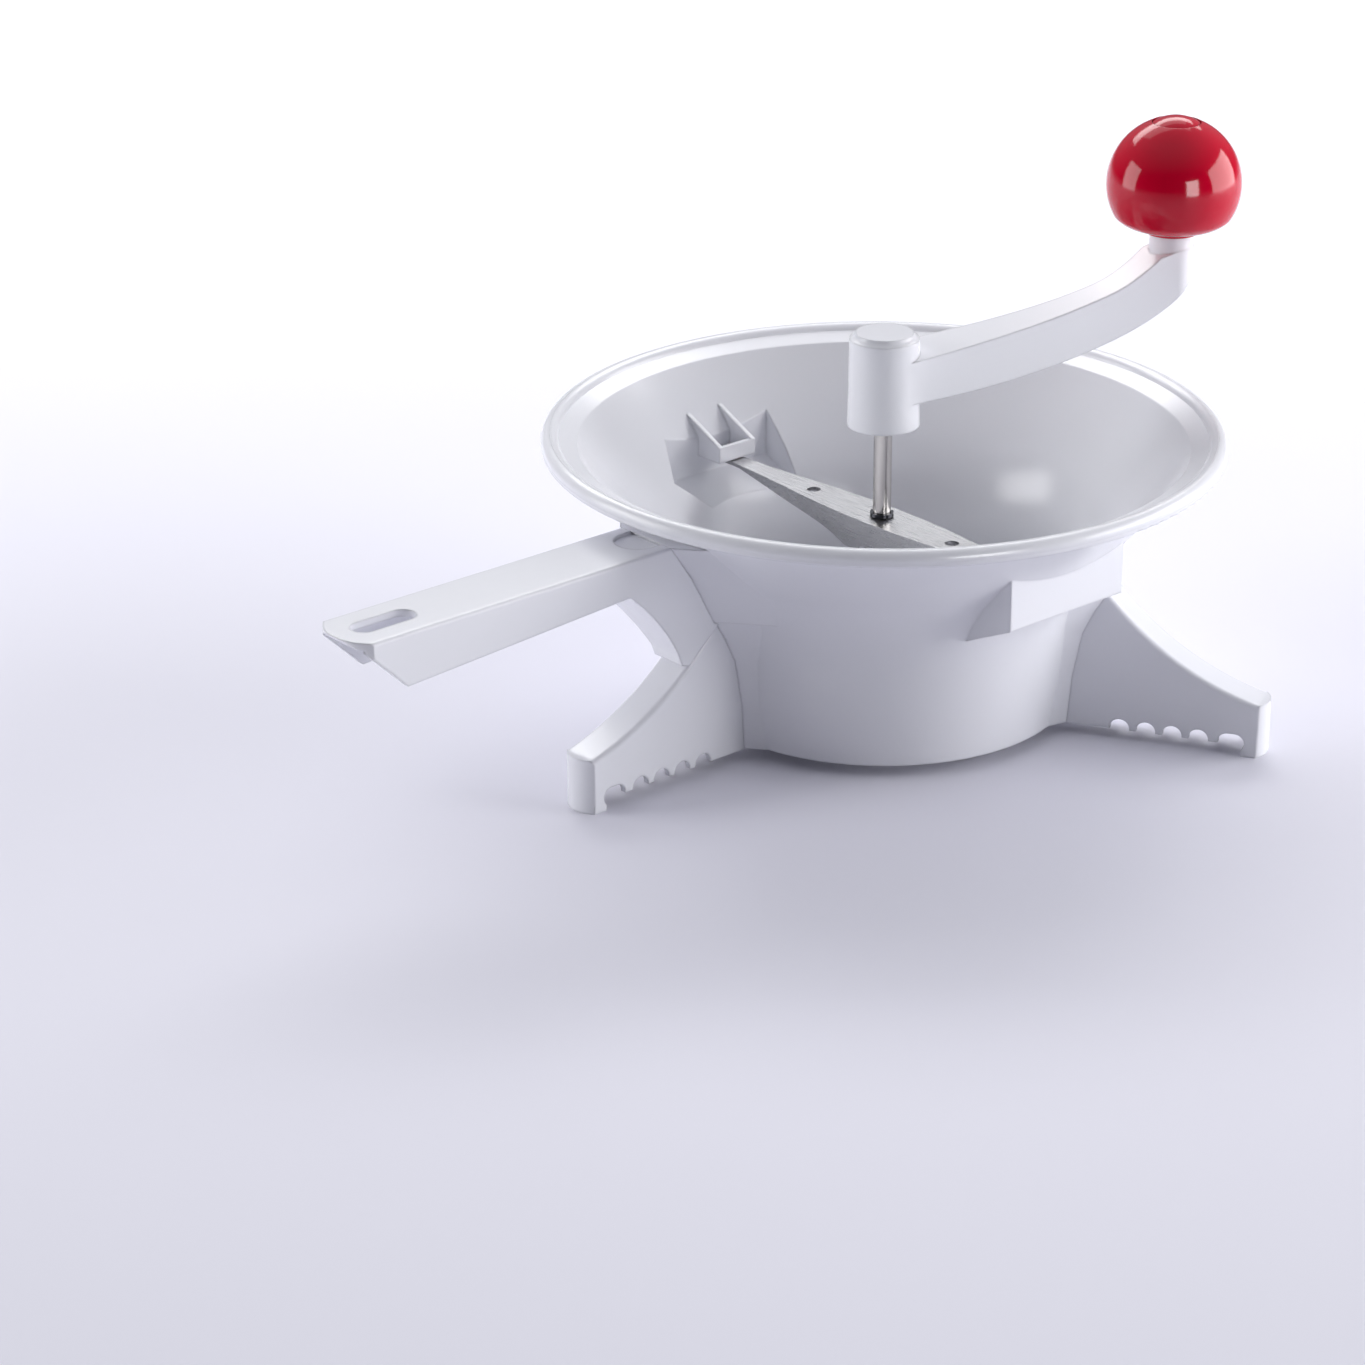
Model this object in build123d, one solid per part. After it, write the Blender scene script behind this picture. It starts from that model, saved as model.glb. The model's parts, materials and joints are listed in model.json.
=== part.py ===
from build123d import *
from math import cos, hypot, pi, radians, sin, sqrt, tan
import os

# Hand-cranked strainer for soft fruit and vegetables. A bell-mouthed plastic bowl stands on three
# notched legs, a sprung steel bar spans it, and a crank turns a pitched blade over a sieve disc.
# Millimetres. Z is the bowl's axis, upwards, and Z = 0 is the plane of the leg tips. The handle
# lies along -X and the bar along Y. S is a distance outwards from the axis at a given azimuth, and
# T is a distance to the left of that line.

# --- bowl -----------------------------------------------------------------------------------------
BOWL_WALL = 2.6
BASE_Z = 4.5                 # underside of the bowl above the leg tips
BASE_R = 67.5                # outside radius at the underside
THROAT_R = 72.0              # outside radius where the flare starts
THROAT_Z = 37.8
FLARE_R = 88.0               # outside radius where the flare becomes a straight cone
FLARE_Z = 72.5
MOUTH_R = 104.8              # outside radius at the top of the cone
MOUTH_Z = 92.0
STEP_HEIGHT = 6.0            # steep step between the cone and the rim's flange
STEP_OUT = 4.5
RIM_R = 120.0                # outside radius of the rolled rim
RIM_TOP = 104.4
RIM_HEIGHT = 5.8
RIM_ROUND = 2.8              # of the crown's outer edge
RIM_FOOT_ROUND = 1.2         # of the rim's lower edge
LIP_WIDTH = 3.6
LIP_DROP = 2.0               # from the lip's crest down to the flange
LEDGE_WIDTH = 6.0            # inward flange that carries the sieve disc
LEDGE_THICK = 2.8

# --- bar pockets and their brackets ---------------------------------------------------------------
POCKET_AZIMUTHS = (90.0, 270.0)
POCKET_S = 89.0              # inside face of the pocket
POCKET_HALF = 24.8
POCKET_FLOOR = 64.2          # at the back of the pocket
POCKET_SLOPE = 0.47          # fall of the floor towards the axis
POCKET_SPLAY = 27.0          # one cheek is splayed, on the side where the bar swings in
POCKET_TOP = 86.0            # above the line where the pocket runs out into the flare
POCKET_BEVEL = (16.0, 57.5)  # a point, as (t, z), of the bevel between the floor and the splayed cheek
POCKET_BEVEL_ANGLE = 38.0
BRACKET_S = 77.0             # outer face of the bracket's front plate
BRACKET_HALF = 8.7
BRACKET_WALL = 1.9
BRACKET_FLOOR = 1.3
BRACKET_FRONT_TOP = 77.1
GUSSET_S = 96.0              # upper tips of the bracket's side plates, on the bowl's wall
GUSSET_TOP = 86.0
WINDOW_START = 79.9          # opening in the bracket's floor for the bar's tongue
WINDOW_LENGTH = 5.5
WINDOW_HALF = 4.4

# --- legs -----------------------------------------------------------------------------------------
LEG_AZIMUTHS = {"leg_front": 180.0, "leg_right": 300.0, "leg_back": 60.0}
LEG_HALF = 7.3
LEG_WALL = 2.4
LEG_TOP = (84.5, 55.5)       # the leg's back is one arc through these three points, as (s, z)
LEG_MIDDLE = (106.5, 35.0)
LEG_END = (139.0, 19.8)
LEG_BULGE = 3.0              # the end post's outer face is convex in plan
LEG_EDGE_Z = 4.2             # lower edge of the leg above its tip
POST_INNER_S = 133.8
NOTCH_R = 3.5
NOTCH_Z = 4.6
NOTCH_FIRST_S = 90.4
NOTCH_PITCH = 9.4
NOTCH_COUNT = 4
LONG_NOTCH_S = 130.2         # middle of the long notch beside the post
LONG_NOTCH_HALF = 1.2        # half of its centre line
LEG_SEAT = [(71.2, BASE_Z), (72.6, 22.0), (75.8, 39.0), (80.0, 48.0), LEG_TOP]
PAD_MARGIN = 0.4             # a pad of the bowl is wider than the leg or handle on it by this, each side
PAD_SPLAY = 50.0             # and its flanks run out into the bowl's wall at this angle
PAD_TOP = 68.0

# --- handle ---------------------------------------------------------------------------------------
HANDLE_AZIMUTH = 180.0
HANDLE_TOP = 91.0
HANDLE_HALF = 13.2
HANDLE_PLATE = 2.6
HANDLE_WALL = 2.4
HANDLE_ROUND = 1.2
HANDLE_TIP_S = 239.0
HANDLE_TIP_BULGE = 6.0
HANDLE_UNDERCUT = (220.0, 72.6)     # the open end is cut obliquely back to here
WEB_TOP_S = 133.0            # the web that closes the root meets the top plate here
WEB_HIGH = (127.5, 78.0)     # front face of the root, one arc
WEB_MIDDLE = (113.4, 64.5)
WEB_LOW = (101.2, 48.0)
ROOT_CORNER = (99.6, 43.6)
ROOT_SHARE = 0.26            # share of the arc of the leg's back that the root sits on
ROOT_TAPER = (47.0, 77.0)    # heights between which the root narrows downwards to the leg's width
SEAT_LOW = (87.0, 57.0)      # the handle's seat on the bowl's boss is a straight line
SEAT_HIGH = (109.2, 91.0)
RECESS_END_S = 121.0         # shallow recess at the inner end of the top plate
RECESS_HALF = 8.0
RECESS_DEPTH = 1.2
SLOT_END_S = 231.5
SLOT_LENGTH = 24.5
SLOT_WIDTH = 9.5

# --- crossbar -------------------------------------------------------------------------------------
SHEET = 1.2
BAR_AZIMUTH = 90.0
BAR_TOP = 71.0
BAR_WIDTHS = [(0.0, 8.8), (24.0, 7.9), (46.0, 5.7), (83.0, 3.5)]           # (s, half width)
FLANGE_DEPTHS = [(10.0, 11.8), (18.0, 8.8), (36.0, 6.0), (62.0, 2.8), (72.0, SHEET)]
FLANGE_NOTCH_R = 4.5
FLANGE_NOTCH_DROP = 14.0     # centre of the round notch below the bar's top
BAR_HOLE_S = 35.5
BAR_HOLE_R = 2.5
TONGUE_HEIGHT = 3.6
TONGUE_HALF = 2.8
TONGUE_LIP = 1.6             # the tongue's top is bent outwards by this
SEAT_GAP = 0.3
OVERCUT = 1.0                # a cut runs this far past the face that it opens

# --- crank shaft and what it carries --------------------------------------------------------------
SHAFT_R = 3.25
STEM_R = 2.6                 # below the bar
PILOT_R = 2.0                # in the centre hole of the sieve disc
PILOT_LENGTH = 4.0
RUNNING_GAP = 0.05
SHAFT_IN_HUB = 26.0
RING_R = 4.2
RING_THICK = 1.4
RING_GROOVE = 0.6
DISC_THICK = 0.8
DISC_RIM_HEIGHT = 6.0
DISC_CLEAR = 0.5
HOLE_R = 1.4
HOLE_PITCH = 12.0
RING_FIRST_R = 14.0
RING_STEP = 10.2
RING_COUNT = 5
BLADE_R = 61.0
BLADE_PITCH = 32.0
BLADE_CHORD = 25.0
BLADE_TIP_CHORD = 15.0
BLADE_ROOT_S = 12.0
BLADE_PLATE_R = 14.0
BLADE_GAP = 0.5              # between the blade's lower edges and the disc
BOSS_R = 5.6
BOSS_HEIGHT = 9.0
BOSS_FLANGE_R = 11.0
BOSS_FLANGE_THICK = 1.5
RIVET_R = 1.4
RIVET_HEAD_R = 2.2
RIVET_HEAD = 0.8
RIVET_CIRCLE_R = 8.3
RIVET_COUNT = 4
PIN_R = 0.9
PIN_RISE = 6.0               # cross pin above the blade's centre plate
WASHER_R = 7.2
WASHER_THICK = 1.0
WIRE_R = 0.8
COIL_R = 5.6
COIL_TURNS = 10

# --- crank arm and knob ---------------------------------------------------------------------------
CRANK_AZIMUTH = -18.7
CRANK_R = 111.5              # knob axis from the bowl's axis
ARM_HUB_R = 12.75
ARM_HUB_TOP_R = 12.25
ARM_HUB_BOTTOM = 105.5
ARM_HUB_TOP = 139.3
ARM_HUB_ROUND = 2.0
ARM_TIP_R = 8.0
ARM_WIDTHS = [(0.0, 11.8), (30.0, 9.7), (60.0, 7.8), (88.0, 6.7), (CRANK_R, ARM_TIP_R)]   # (s, half width)
ARM_WALL = 2.2
ARM_BACK = [(0.0, 130.0), (54.0, 137.2), (90.0, 146.0), (104.0, 151.3)]    # upper edge, (s, z)
ARM_BELLY = [(120.0, 152.5), (112.2, 141.2), (100.6, 133.0), (74.0, 123.6), (38.0, 117.4), (0.0, 115.0)]
ARM_END_TOP = 158.3
ARM_RIBS = (38.0, 62.0, 84.0)
COLLAR_R = 7.85
COLLAR_TOP = 162.2
KNOB_R = 23.9
KNOB_RISE = 17.5             # centre of the ball above the knob's lower face
KNOB_NECK_R = 9.7
KNOB_NECK_HEIGHT = 2.1
KNOB_FOOT_R = 12.5
KNOB_SHOULDER_DROP = 11.6    # the ball's underside leaves the sphere this far below its centre
AXLE_R = 3.0
AXLE_DEPTH = 15.0            # down into the arm
AXLE_HEAD_R = 5.4
AXLE_HEAD_HEIGHT = 3.0
AXLE_SLOT = 1.2
KNOB_WELL_R = 7.0
KNOB_WELL_DEPTH = 8.2        # below the plug's seat
KNOB_WASHER_R = 6.2
KNOB_WASHER_THICK = 0.8
PLUG_R = 8.4
PLUG_GROOVE = 0.25
PLUG_RISE = 0.5              # top of the plug above the top of the ball
PLUG_DOME = 2.5
PLUG_EDGE = 1.7
PLUG_STEP = 1.6

# --- worked out from the sizes above --------------------------------------------------------------
CAVITY_S = BASE_R - 8.0      # well inside the bowl's wall
DISC_Z = BASE_Z + LEDGE_THICK
DISC_TOP = DISC_Z + DISC_THICK
DISC_R = BASE_R - BOWL_WALL - DISC_CLEAR
BLADE_Z = DISC_TOP + BLADE_GAP + BLADE_CHORD / 2 * sin(radians(BLADE_PITCH))
PLATE_TOP = BLADE_Z + SHEET
FLANGE_TOP = PLATE_TOP + BOSS_FLANGE_THICK
BOSS_TOP = FLANGE_TOP + BOSS_HEIGHT
BAR_UNDER = BAR_TOP - SHEET
BAR_END_S = BAR_WIDTHS[-1][0]
BRACKET_UNDER = BAR_TOP + SEAT_GAP
RING_Z = BAR_TOP + SEAT_GAP
SHOULDER_Z = RING_Z + RING_THICK
SPRING_LOW = BOSS_TOP + WASHER_THICK
SPRING_HIGH = BAR_UNDER - WASHER_THICK
KNOB_Z = COLLAR_TOP + SEAT_GAP
KNOB_CENTRE = KNOB_Z + KNOB_RISE
KNOB_NECK_TOP = KNOB_Z + KNOB_NECK_HEIGHT
KNOB_SHOULDER_Z = KNOB_CENTRE - KNOB_SHOULDER_DROP
PLUG_TOP_Z = KNOB_CENTRE + KNOB_R + PLUG_RISE
PLUG_EDGE_Z = PLUG_TOP_Z - PLUG_DOME
PLUG_SEAT_Z = PLUG_EDGE_Z - PLUG_EDGE
KNOB_WELL_Z = PLUG_SEAT_Z - KNOB_WELL_DEPTH
REACH = 400.0                # longer than the whole strainer


# --- helpers --------------------------------------------------------------------------------------
def polar(part, azimuth):
    """Turns a part that was made along +X to its azimuth about the bowl's axis."""
    return Rot(0, 0, azimuth) * part


def rod(radius, low, high, x=0.0, y=0.0):
    """An upright cylinder between two heights."""
    stand = (Align.CENTER, Align.CENTER, Align.MIN)
    return Pos(x, y, low) * Cylinder(radius, high - low, align=stand)


def side_prism(edges, half):
    """A prism of the closed outline `edges`, drawn in (s, z), that reaches `half` to each side."""
    return extrude(Plane.XZ * make_face(edges), amount=half, both=True)


def side_slab(points, half):
    """A prism of the polygon `points`, given as (s, z), that reaches `half` to each side."""
    return side_prism(Polyline(*points, close=True), half)


def plan_prism(edges, low, high):
    """A prism of the closed plan outline `edges`, drawn in (s, t), between two heights."""
    return extrude(Pos(0, 0, low) * make_face(edges), amount=high - low)


def end_prism(points, low, high):
    """A prism of the polygon `points`, given as (t, z), between two distances out from the axis."""
    return extrude(Plane.YZ.offset(low) * make_face(Polyline(*points, close=True)), amount=high - low)


def block(s, t, z):
    """A box given by its low and high ends along s, t and z."""
    size = (s[1] - s[0], t[1] - t[0], z[1] - z[0])
    return Pos(s[0], t[0], z[0]) * Box(*size, align=(Align.MIN, Align.MIN, Align.MIN))


def turned(edges):
    """Revolves the closed outline of `edges`, drawn in (radius, z), about the bowl's axis."""
    return revolve(Plane.XZ * make_face(edges), Axis.Z)


def shifted(point, along, offset):
    """The point moved by `offset` to the left of the direction from `point` to `along`."""
    dx = along[0] - point[0]
    dz = along[1] - point[1]
    length = hypot(dx, dz)
    return point[0] - dz / length * offset, point[1] + dx / length * offset


# --- bowl -----------------------------------------------------------------------------------------
def skin(depth):
    """The bowl's wall, `depth` inside its outer surface, from its base to the top of the step."""
    base = (BASE_R, BASE_Z)
    flare = (FLARE_R, FLARE_Z)
    low = shifted(base, (THROAT_R, THROAT_Z), depth)
    start = (low[0] + THROAT_R - BASE_R, low[1] + THROAT_Z - BASE_Z)
    bend = shifted(flare, (MOUTH_R, MOUTH_Z), depth)
    end = (bend[0] + MOUTH_R - FLARE_R, bend[1] + MOUTH_Z - FLARE_Z)
    top = (end[0] + STEP_OUT, end[1] + STEP_HEIGHT)
    arc = TangentArc(start, bend, tangent=(THROAT_R - BASE_R, THROAT_Z - BASE_Z))
    return [Line(low, start), arc, Line(bend, end), Line(end, top)]


def bowl_shell():
    """The turned shell of the bowl, with its rolled rim and the ledge for the sieve disc."""
    outer = skin(0.0)
    inner = skin(BOWL_WALL)
    step_out = outer[-1] @ 1
    step_in = inner[-1] @ 1
    low_out = outer[0] @ 0
    low_in = inner[0] @ 0
    ledge_r = low_in.X - LEDGE_WIDTH
    rim_low = RIM_TOP - RIM_HEIGHT
    rim_in = RIM_R - LIP_WIDTH
    rim = Polyline(
        (step_out.X, step_out.Y),
        (RIM_R - BOWL_WALL, step_out.Y + RIM_ROUND),
        (RIM_R - BOWL_WALL, rim_low),
        (RIM_R - RIM_FOOT_ROUND, rim_low),
    )
    foot = RadiusArc((RIM_R - RIM_FOOT_ROUND, rim_low), (RIM_R, rim_low + RIM_FOOT_ROUND), -RIM_FOOT_ROUND)
    side = Line((RIM_R, rim_low + RIM_FOOT_ROUND), (RIM_R, RIM_TOP - RIM_ROUND))
    crown = RadiusArc((RIM_R, RIM_TOP - RIM_ROUND), (RIM_R - RIM_ROUND, RIM_TOP), RIM_ROUND)
    flange = Polyline(
        (RIM_R - RIM_ROUND, RIM_TOP),
        (rim_in, RIM_TOP),
        (rim_in - LIP_DROP, RIM_TOP - LIP_DROP),
        (step_in.X, step_in.Y),
    )
    ledge = Polyline(
        (low_in.X, low_in.Y),
        (low_in.X, DISC_Z),
        (ledge_r, DISC_Z),
        (ledge_r, BASE_Z),
        (low_out.X, BASE_Z),
    )
    return turned([*outer, rim, foot, side, crown, flange, *inner, ledge])


def bowl_core(depth):
    """Everything inside the bowl's skin at `depth` below its outer surface."""
    wall = skin(depth)
    low = wall[0] @ 0
    top = wall[-1] @ 1
    foot = BASE_Z - LEDGE_THICK
    close = Polyline((top.X, top.Y), (0, top.Y), (0, foot), (low.X, foot), (low.X, low.Y))
    return turned([*wall, close])


def pocket_block(grow):
    """The hollow of a bar pocket, or with `grow` the outside of the lug that holds it."""
    back = POCKET_S + grow
    splay = radians(POCKET_SPLAY)
    slope = sqrt(1 + POCKET_SLOPE ** 2)
    wide = POCKET_HALF - grow * tan(splay) + grow / cos(splay)
    wider = wide + (back - CAVITY_S) * tan(splay)
    square = POCKET_HALF + grow
    plan = Polyline((CAVITY_S, -square), (back, -square), (back, wide), (CAVITY_S, wider), close=True)
    floor = POCKET_FLOOR - grow * slope
    foot = floor + (CAVITY_S - POCKET_S) * POCKET_SLOPE
    heel = floor + grow * POCKET_SLOPE
    section = [(CAVITY_S, foot), (back, heel), (back, POCKET_TOP), (CAVITY_S, POCKET_TOP)]
    bevel_z = POCKET_BEVEL[1] - grow / cos(radians(POCKET_BEVEL_ANGLE))
    below = Box(REACH, REACH, REACH, align=(Align.CENTER, Align.CENTER, Align.MAX))
    below = Pos(0, POCKET_BEVEL[0], bevel_z) * Rot(POCKET_BEVEL_ANGLE, 0, 0) * below
    return (plan_prism(plan, 0, POCKET_TOP) & side_slab(section, REACH)) - below


def bracket():
    """The open tray that the bar's end hooks under: a floor with a window, and three plates."""
    floor_top = BRACKET_UNDER + BRACKET_FLOOR
    across = (-BRACKET_HALF, BRACKET_HALF)
    tray = block((BRACKET_S, GUSSET_S), across, (BRACKET_UNDER, floor_top))
    tray += block((BRACKET_S, BRACKET_S + BRACKET_WALL), across, (BRACKET_UNDER, BRACKET_FRONT_TOP))
    low = [(GUSSET_S, BRACKET_UNDER), (BRACKET_S, BRACKET_UNDER)]
    outline = [*low, (BRACKET_S, BRACKET_FRONT_TOP), (GUSSET_S, GUSSET_TOP)]
    cheeks = side_slab(outline, BRACKET_HALF) - side_slab(outline, BRACKET_HALF - BRACKET_WALL)
    along = (WINDOW_START, WINDOW_START + WINDOW_LENGTH)
    return tray + cheeks - block(along, (-WINDOW_HALF, WINDOW_HALF), (0, floor_top + OVERCUT))


def pad(sections):
    """A pad on the bowl whose face follows `sections`, given as (s, half width, z)."""
    splay = tan(radians(PAD_SPLAY))
    faces = []
    for s, half, z in sections:
        wide = half + (s - CAVITY_S) * splay
        plan = Polyline((s, -half), (s, half), (CAVITY_S, wide), (CAVITY_S, -wide), close=True)
        faces.append(Pos(0, 0, z) * make_face(plan))
    return loft(faces, ruled=True)


def leg_pad():
    """The bowl's pad that a leg is seated on."""
    half = LEG_HALF + PAD_MARGIN
    return pad([(s, half, z) for s, z in (*LEG_SEAT, (LEG_TOP[0], PAD_TOP))])


def handle_boss():
    """The bowl's boss that the handle is seated on."""
    low = (SEAT_LOW[0], root_half(SEAT_LOW[1]) + PAD_MARGIN, SEAT_LOW[1])
    high = (SEAT_HIGH[0], HANDLE_HALF + PAD_MARGIN, SEAT_HIGH[1])
    return pad([low, high])


def bowl():
    """The bowl with its pads, its boss, the two lugs and the two brackets."""
    outside = polar(handle_boss(), HANDLE_AZIMUTH)
    for azimuth in LEG_AZIMUTHS.values():
        outside += polar(leg_pad(), azimuth)
    for azimuth in POCKET_AZIMUTHS:
        outside += polar(pocket_block(BOWL_WALL), azimuth)
    body = bowl_shell() + (outside - bowl_core(BOWL_WALL))
    trim = bowl_core(BOWL_WALL / 2)
    for azimuth in POCKET_AZIMUTHS:
        body -= polar(pocket_block(0.0), azimuth)
        hold = trim + polar(pocket_block(BOWL_WALL / 2), azimuth)
        body += polar(bracket(), azimuth) & hold
    return body


# --- legs -----------------------------------------------------------------------------------------
def leg_back():
    """The arc of a leg's back, from the bowl outwards."""
    return ThreePointArc(LEG_TOP, LEG_MIDDLE, LEG_END)


def leg_side():
    """The outline of a leg from the side."""
    tip_s = LEG_END[0] + LEG_BULGE
    rest = Polyline(
        LEG_END,
        (tip_s, LEG_END[1]),
        (tip_s, 0),
        (POST_INNER_S, 0),
        (POST_INNER_S, LEG_EDGE_Z),
        (LEG_SEAT[0][0], LEG_EDGE_Z),
        *LEG_SEAT,
    )
    return [leg_back(), rest]


def leg():
    """A curved leg, hollow from below, with a notched lower edge and a post at its end."""
    tip_s = LEG_END[0] + LEG_BULGE
    strip = Polyline((0, -LEG_HALF), (LEG_END[0], -LEG_HALF))
    nose = ThreePointArc((LEG_END[0], -LEG_HALF), (tip_s, 0), (LEG_END[0], LEG_HALF))
    side = Polyline((LEG_END[0], LEG_HALF), (0, LEG_HALF), (0, -LEG_HALF))
    body = side_prism(leg_side(), LEG_HALF)
    body &= plan_prism([strip, nose, side], -OVERCUT, LEG_TOP[1] + OVERCUT)
    return body - leg_hollow() - leg_notches()


def leg_hollow():
    """The channel inside a leg, which is open below but closed under the post."""
    inner = offset(make_face(leg_side()), -LEG_WALL, kind=Kind.INTERSECTION)
    hollow = extrude(Plane.XZ * inner, amount=LEG_HALF - LEG_WALL, both=True)
    below = Pos(0, 0, -LEG_WALL - OVERCUT) * hollow
    return hollow + (below & block((0, POST_INNER_S), (-LEG_HALF, LEG_HALF), (-LEG_WALL, LEG_TOP[1])))


def leg_notches():
    """The round notches of the lower edge, and the long notch beside the post."""
    centres = [NOTCH_FIRST_S + NOTCH_PITCH * i for i in range(NOTCH_COUNT)]
    long_ends = (LONG_NOTCH_S - LONG_NOTCH_HALF, LONG_NOTCH_S + LONG_NOTCH_HALF)
    cut = block((long_ends[0], long_ends[1]), (-LEG_HALF, LEG_HALF), (0, NOTCH_Z + NOTCH_R))
    for s in (*centres, *long_ends):
        cut += Pos(s, 0, NOTCH_Z) * Rot(90, 0, 0) * Cylinder(NOTCH_R, 2 * LEG_HALF)
    return cut


# --- handle ---------------------------------------------------------------------------------------
def root_half(z):
    """Half width of the handle's root at height z."""
    low, high = ROOT_TAPER
    share = min(max((z - low) / (high - low), 0.0), 1.0)
    return LEG_HALF + share * (HANDLE_HALF - LEG_HALF)


def root_hold(inset):
    """Everything between the root's sides, which come together downwards, `inset` inside them."""
    stations = [(root_half(z) - inset, z) for z in (0.0, *ROOT_TAPER, HANDLE_TOP)]
    return end_prism([*stations, *[(-t, z) for t, z in reversed(stations)]], 0, WEB_HIGH[0])


def root_side():
    """The outline of the root from the side, between its seats, its web and the top plate."""
    back = leg_back()
    on_leg = ThreePointArc(back @ 0, back @ (ROOT_SHARE / 2), back @ ROOT_SHARE)
    front = ThreePointArc(WEB_HIGH, WEB_MIDDLE, WEB_LOW)
    corner = Polyline(WEB_LOW, ROOT_CORNER, on_leg @ 1)
    seat = Polyline(on_leg @ 0, SEAT_LOW, SEAT_HIGH, (WEB_TOP_S, HANDLE_TOP), WEB_HIGH)
    return [front, corner, on_leg, seat]


def handle():
    """The handle: a channel with a hanging slot, an oblique open end and a root that narrows down."""
    tip = (HANDLE_TIP_S, HANDLE_TOP)
    grip = side_slab([(WEB_TOP_S, HANDLE_TOP), tip, HANDLE_UNDERCUT, WEB_HIGH], HANDLE_HALF)
    shoulder_s = HANDLE_TIP_S - HANDLE_TIP_BULGE
    near = Polyline((0, HANDLE_HALF), (0, -HANDLE_HALF), (shoulder_s, -HANDLE_HALF))
    nose = ThreePointArc((shoulder_s, -HANDLE_HALF), (HANDLE_TIP_S, 0), (shoulder_s, HANDLE_HALF))
    far = Line((shoulder_s, HANDLE_HALF), (0, HANDLE_HALF))
    root = side_prism(root_side(), HANDLE_HALF)
    beyond = block((WEB_HIGH[0], REACH), (-HANDLE_HALF, HANDLE_HALF), (0, HANDLE_TOP))
    body = (root & (root_hold(0.0) + beyond)) + grip
    body &= plan_prism([near, nose, far], 0, HANDLE_TOP)
    long_edges = body.edges().filter_by(Axis.X).group_by(Axis.Z)[-1]
    body = fillet(long_edges, HANDLE_ROUND)
    return body - grip_hollow() - root_hollow() - hanging_slot() - root_recess()


def grip_hollow():
    """The channel under the grip, open at its end, up to the web."""
    under = HANDLE_TOP - HANDLE_PLATE
    outline = [(WEB_TOP_S, under), WEB_HIGH, (WEB_HIGH[0], 0), (REACH, 0), (REACH, under)]
    return side_slab(outline, HANDLE_HALF - HANDLE_WALL)


def root_hollow():
    """The hollow of the root, which opens onto the bowl's boss and the leg's back."""
    inner = offset(make_face(root_side()), -HANDLE_WALL, kind=Kind.INTERSECTION)
    hollow = extrude(Plane.XZ * inner, amount=HANDLE_HALF, both=True)
    hollow += Pos(-2 * HANDLE_WALL, 0, 0) * hollow
    top = block((0, WEB_TOP_S), (-HANDLE_HALF, HANDLE_HALF), (0, HANDLE_TOP - HANDLE_PLATE))
    return hollow & root_hold(HANDLE_WALL) & top


def hanging_slot():
    """The round-ended slot through the top plate."""
    radius = SLOT_WIDTH / 2
    far = SLOT_END_S - radius
    near = SLOT_END_S - SLOT_LENGTH + radius
    low = HANDLE_TOP - HANDLE_PLATE - OVERCUT
    cut = block((near, far), (-radius, radius), (low, HANDLE_TOP + OVERCUT))
    for s in (near, far):
        cut += rod(radius, low, HANDLE_TOP + OVERCUT, s)
    return cut


def root_recess():
    """The shallow recess at the inner end of the top plate."""
    low = HANDLE_TOP - RECESS_DEPTH
    centre = RECESS_END_S - RECESS_HALF
    cut = block((0, centre), (-RECESS_HALF, RECESS_HALF), (low, HANDLE_TOP + OVERCUT))
    return cut + rod(RECESS_HALF, low, HANDLE_TOP + OVERCUT, centre)


# --- crossbar -------------------------------------------------------------------------------------
def bar_plan(inset):
    """The bar's tapered plan outline, `inset` inside its edges."""
    half = [(s, w - inset) for s, w in BAR_WIDTHS]
    left = [(-s, w) for s, w in reversed(half[1:])] + half
    right = [(s, -w) for s, w in left]
    end = left[-1][0]
    width = half[-1][1]
    ends = [Line((end, width), (end, -width)), Line((-end, -width), (-end, width))]
    return [Spline(*left), ends[0], Spline(*right), ends[1]]


def bar_side():
    """The bar's outline from the side: flanges that are deepest in the middle."""
    right = [(s, BAR_TOP - depth) for s, depth in FLANGE_DEPTHS]
    left = [(-s, z) for s, z in reversed(right)]
    corners = [(BAR_END_S, BAR_UNDER), (BAR_END_S, BAR_TOP)]
    mirrored = [(-s, z) for s, z in reversed(corners)]
    top = Polyline(right[-1], *corners, *mirrored, left[0])
    return [Spline(*left), Line(left[-1], right[0]), Spline(*right), top]


def tongue():
    """The upturned tongue of the bar's end, with its top bent outwards."""
    across = (-TONGUE_HALF, TONGUE_HALF)
    top = BAR_TOP + TONGUE_HEIGHT
    upright = block((BAR_END_S - SHEET, BAR_END_S), across, (BAR_UNDER, top))
    return upright + block((BAR_END_S - SHEET, BAR_END_S + TONGUE_LIP), across, (top - SHEET, top))


def crossbar():
    """The pressed steel bar, with its side flanges and the tongues that hook into the brackets."""
    low = BAR_TOP - FLANGE_NOTCH_DROP
    bar = plan_prism(bar_plan(0.0), low, BAR_TOP) & side_prism(bar_side(), REACH)
    bar -= plan_prism(bar_plan(SHEET), low, BAR_UNDER)
    bar += block((-BAR_END_S, BAR_END_S), (-TONGUE_HALF, TONGUE_HALF), (BAR_UNDER, BAR_TOP))
    for turn in (0, 180):
        bar += Rot(0, 0, turn) * tongue()
        bar -= Rot(0, 0, turn) * rod(BAR_HOLE_R, low, BAR_TOP + OVERCUT, BAR_HOLE_S)
    bar -= rod(STEM_R + RUNNING_GAP, low, BAR_TOP + OVERCUT)
    bar -= Pos(0, 0, low) * Rot(90, 0, 0) * Cylinder(FLANGE_NOTCH_R, REACH)
    return polar(bar, BAR_AZIMUTH)


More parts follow.
